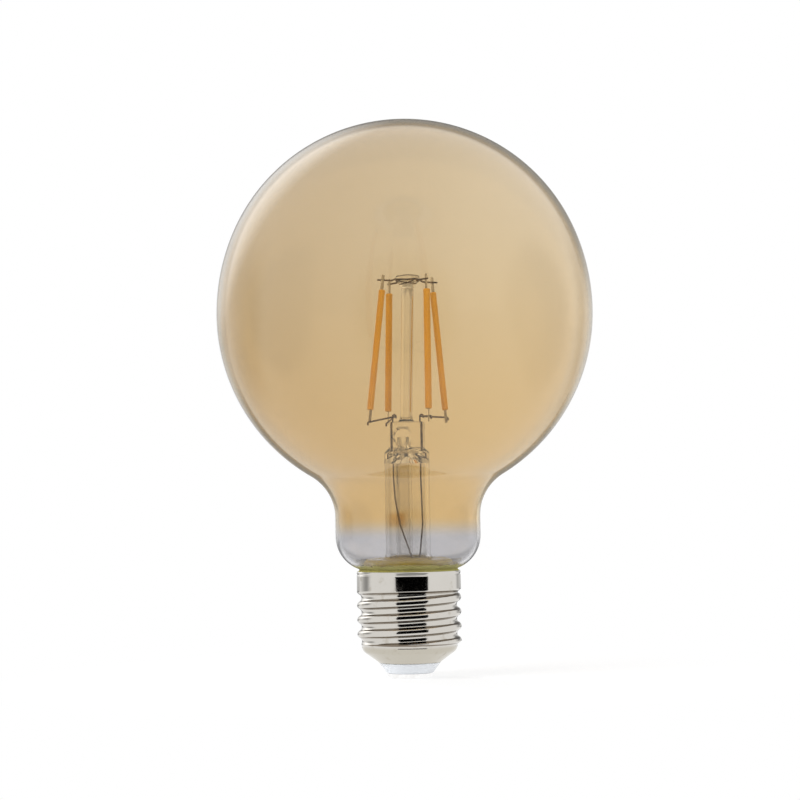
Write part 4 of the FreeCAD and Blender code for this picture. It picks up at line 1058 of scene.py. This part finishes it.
def lamp(name, spot, width, height, power):
    """A soft rectangular lamp that faces the globe. Gloss and glass show the world instead."""
    light = bpy.data.lights.new(name, "AREA")
    light.shape = "RECTANGLE"
    light.size, light.size_y = width, height
    light.energy = power
    holder = bpy.data.objects.new(name, light)
    holder.location = spot
    away = Vector(LAMP_AIM) - Vector(spot)
    holder.rotation_euler = away.to_track_quat("-Z", "Y").to_euler()
    holder.visible_glossy = False
    holder.visible_transmission = False
    bpy.context.scene.collection.objects.link(holder)


def either(first, second):
    """The greater of two values."""
    return first.maths("MAXIMUM", first, second)


def eyes(tree):
    """Rays from the camera, off gloss and through glass, which count as glossy too."""
    path = node(tree, "ShaderNodeLightPath")
    through = path.part("Is Transmission Ray")
    return path.part("Is Camera Ray"), path.part("Is Glossy Ray") * (1 - through), through


def gap_shade(tree, way, glossy):
    """1 towards the backdrop, the side panels, the ceiling and the floor, and grey in the gaps
    between the backdrop and the panels, over and under the backdrop, and round the camera.
    Glass sees a bright right side with a dark end."""
    parts = node(tree, "ShaderNodeSeparateXYZ", None, {0: way})
    across, ahead, up = parts.part("X"), parts.part("Y"), parts.part("Z")
    slant = up.maths("ABSOLUTE", up)
    left = rise(tree, ahead, 0.0, 0.29) * (1 - rise(tree, ahead, 0.3, 0.85))
    left = left * rise(tree, 0 - across, 0.0, 0.25) * 0.64
    right = rise(tree, ahead, 0.56, 0.74) * (1 - rise(tree, ahead, 0.74, 0.9))
    right = right * rise(tree, across, 0.0, 0.25) * 0.5
    beside = (left + right) * (1 - rise(tree, slant, 0.12, 0.55))
    above = rise(tree, ahead, 0.72, 0.8) * (1 - rise(tree, ahead - glossy * 0.02, 0.955, 0.978))
    above = above * (0.3 + rise(tree, slant, 0.06, 0.25) * 0.45)
    front = rise(tree, 0 - ahead, 0.8, 0.98) * glossy * 0.7
    far_right = rise(tree, across, 0.84, 0.95)
    bright = rise(tree, across, 0.2, 0.6) * 0.35 - far_right
    gaps = either(either(beside, above), front) * (0.6 + glossy * 0.4)
    return 1 - gaps + bright * (1 - glossy)


def make_world():
    """A white studio, at 1 for the camera and plain for rays off matt surfaces. Gloss and
    glass see grey gaps in it. They also see more than white: glass up to 1.35 on the right,
    gloss about 2 in a soft panel behind on the left."""
    world = bpy.data.worlds.new("studio")
    bpy.context.scene.world = world
    world.use_nodes = True
    tree = world.node_tree
    background = next(item for item in tree.nodes if item.type == "BACKGROUND")
    camera, glossy, through = eyes(tree)
    way = node(tree, "ShaderNodeTexCoord", output="Generated")
    shade = gap_shade(tree, way, glossy)
    dot = {"operation": "DOT_PRODUCT"}
    toward = node(tree, "ShaderNodeVectorMath", dot, {0: way, 1: PANEL_WAY}, "Value")
    panel = rise(tree, toward, 0.88, 1.0) * glossy * PANEL_LIGHT
    studio = shade + panel
    shown = either(glossy, through) * (1 - camera)
    strength = camera + shown * studio + (1 - either(shown, camera)) * PLAIN_LIGHT
    tree.links.new(strength.socket, background.inputs["Strength"])
    background.inputs["Color"].default_value = (1, 1, 1, 1)


def make_floor():
    """A plain pale disc under the lamp, which goes over to the white of the backdrop."""
    angle = turns(FLOOR_SIDES)
    rim = np.column_stack([FLOOR_R * np.cos(angle), FLOOR_R * np.sin(angle), 0 * angle + FLOOR_Z])
    mesh = bpy.data.meshes.new("floor")
    mesh.from_pydata(rim.tolist(), [], [list(range(len(rim)))])
    floor = bpy.data.objects.new("floor", mesh)
    bpy.context.scene.collection.objects.link(floor)
    material, tree, shader = finish_of("floor_white")
    feed(tree, shader, Base_Color=(0.93, 0.93, 0.93, 1), Roughness=0.9)
    camera, glossy, through = eyes(tree)
    seen = either(either(camera, glossy), through)
    spot = here(tree)
    below = {0: spot, 1: (0, 0, -LAMP_MIDDLE)}
    seen_from = node(tree, "ShaderNodeVectorMath", {"operation": "ADD"}, below)
    way = node(tree, "ShaderNodeVectorMath", {"operation": "NORMALIZE"}, {0: seen_from})
    white = mixed(tree, either(camera, gap_shade(tree, way, glossy)), (0, 0, 0), (1, 1, 1))
    glow = node(tree, "ShaderNodeEmission", None, {"Color": white, "Strength": 1.0})
    clean = either(glossy, 0.72 + rise(tree, length_of(tree, spot), 0.03, 0.11) * 0.28)
    over(tree, seen * clean, shader.outputs[0], glow.socket)
    mesh.materials.append(material)


def make_flag():
    """The dark front of the studio, which only the cap's gloss sees: a patch of a ball round
    the cap, (cos e sin a, -cos e cos a, sin e), clear to rays that meet it aslant."""
    turned = np.radians(np.linspace(-22.7, 33.2, FLAG_COLUMNS))
    lifted = np.radians(np.linspace(-23.6, 26.7, FLAG_ROWS))[:, None]
    ahead = -np.cos(lifted) * np.cos(turned)
    patch = np.stack([np.cos(lifted) * np.sin(turned), ahead, np.sin(lifted) + 0 * turned], axis=-1)
    index = np.arange(FLAG_ROWS * FLAG_COLUMNS).reshape(FLAG_ROWS, FLAG_COLUMNS)
    corners = [index[:-1, :-1], index[:-1, 1:], index[1:, 1:], index[1:, :-1]]
    mesh = bpy.data.meshes.new("flag")
    points = patch.reshape(-1, 3) * FLAG_R + (0, 0, FLAG_Z)
    mesh.from_pydata(points.tolist(), [], np.stack(corners, axis=-1).reshape(-1, 4).tolist())
    flag = bpy.data.objects.new("flag", mesh)
    bpy.context.scene.collection.objects.link(flag)
    material, tree, shader = finish_of("flag_black")
    feed(tree, shader, Base_Color=(0.0, 0.0, 0.0, 1), Roughness=1.0, Specular_IOR_Level=0.0)
    clear = node(tree, "ShaderNodeBsdfTransparent")
    unseen = either(rise(tree, facing(tree, 0.5), 0.1, 0.25), eyes(tree)[2])
    over(tree, unseen, shader.outputs[0], clear.socket)
    mesh.materials.append(material)
    flag.visible_camera = False
    flag.visible_diffuse = False
    flag.visible_transmission = False
    flag.visible_shadow = False


def make_camera():
    """At the photograph's angle: near the cap's height, a little upward and rolled a touch."""
    data = bpy.data.cameras.new("camera")
    data.sensor_width = CAMERA_SENSOR
    data.lens = CAMERA_LENS
    data.clip_start = 0.01
    camera = bpy.data.objects.new("camera", data)
    spot = Vector(CAMERA_SPOT)
    back = (spot - Vector(CAMERA_AIM)).normalized()
    right = Vector((0, 0, 1)).cross(back).normalized()
    up = back.cross(right)
    roll = math.radians(CAMERA_ROLL)
    side = right * math.cos(roll) - up * math.sin(roll)
    top = right * math.sin(roll) + up * math.cos(roll)
    rows = [(side[axis], top[axis], back[axis], spot[axis]) for axis in range(3)]
    camera.matrix_world = Matrix(rows + [(0, 0, 0, 1)])
    bpy.context.scene.collection.objects.link(camera)
    bpy.context.scene.camera = camera


make_world()
make_floor()
make_flag()
lamp("key_lamp", (-0.62, -0.42, 0.52), 0.5, 0.7, 7)
lamp("fill_lamp", (0.75, -0.35, 0.25), 0.35, 0.8, 5)
lamp("back_lamp", (-0.42, 0.68, 0.5), 0.3, 0.4, 4)
make_camera()
bpy.context.scene.view_settings.view_transform = "Standard"
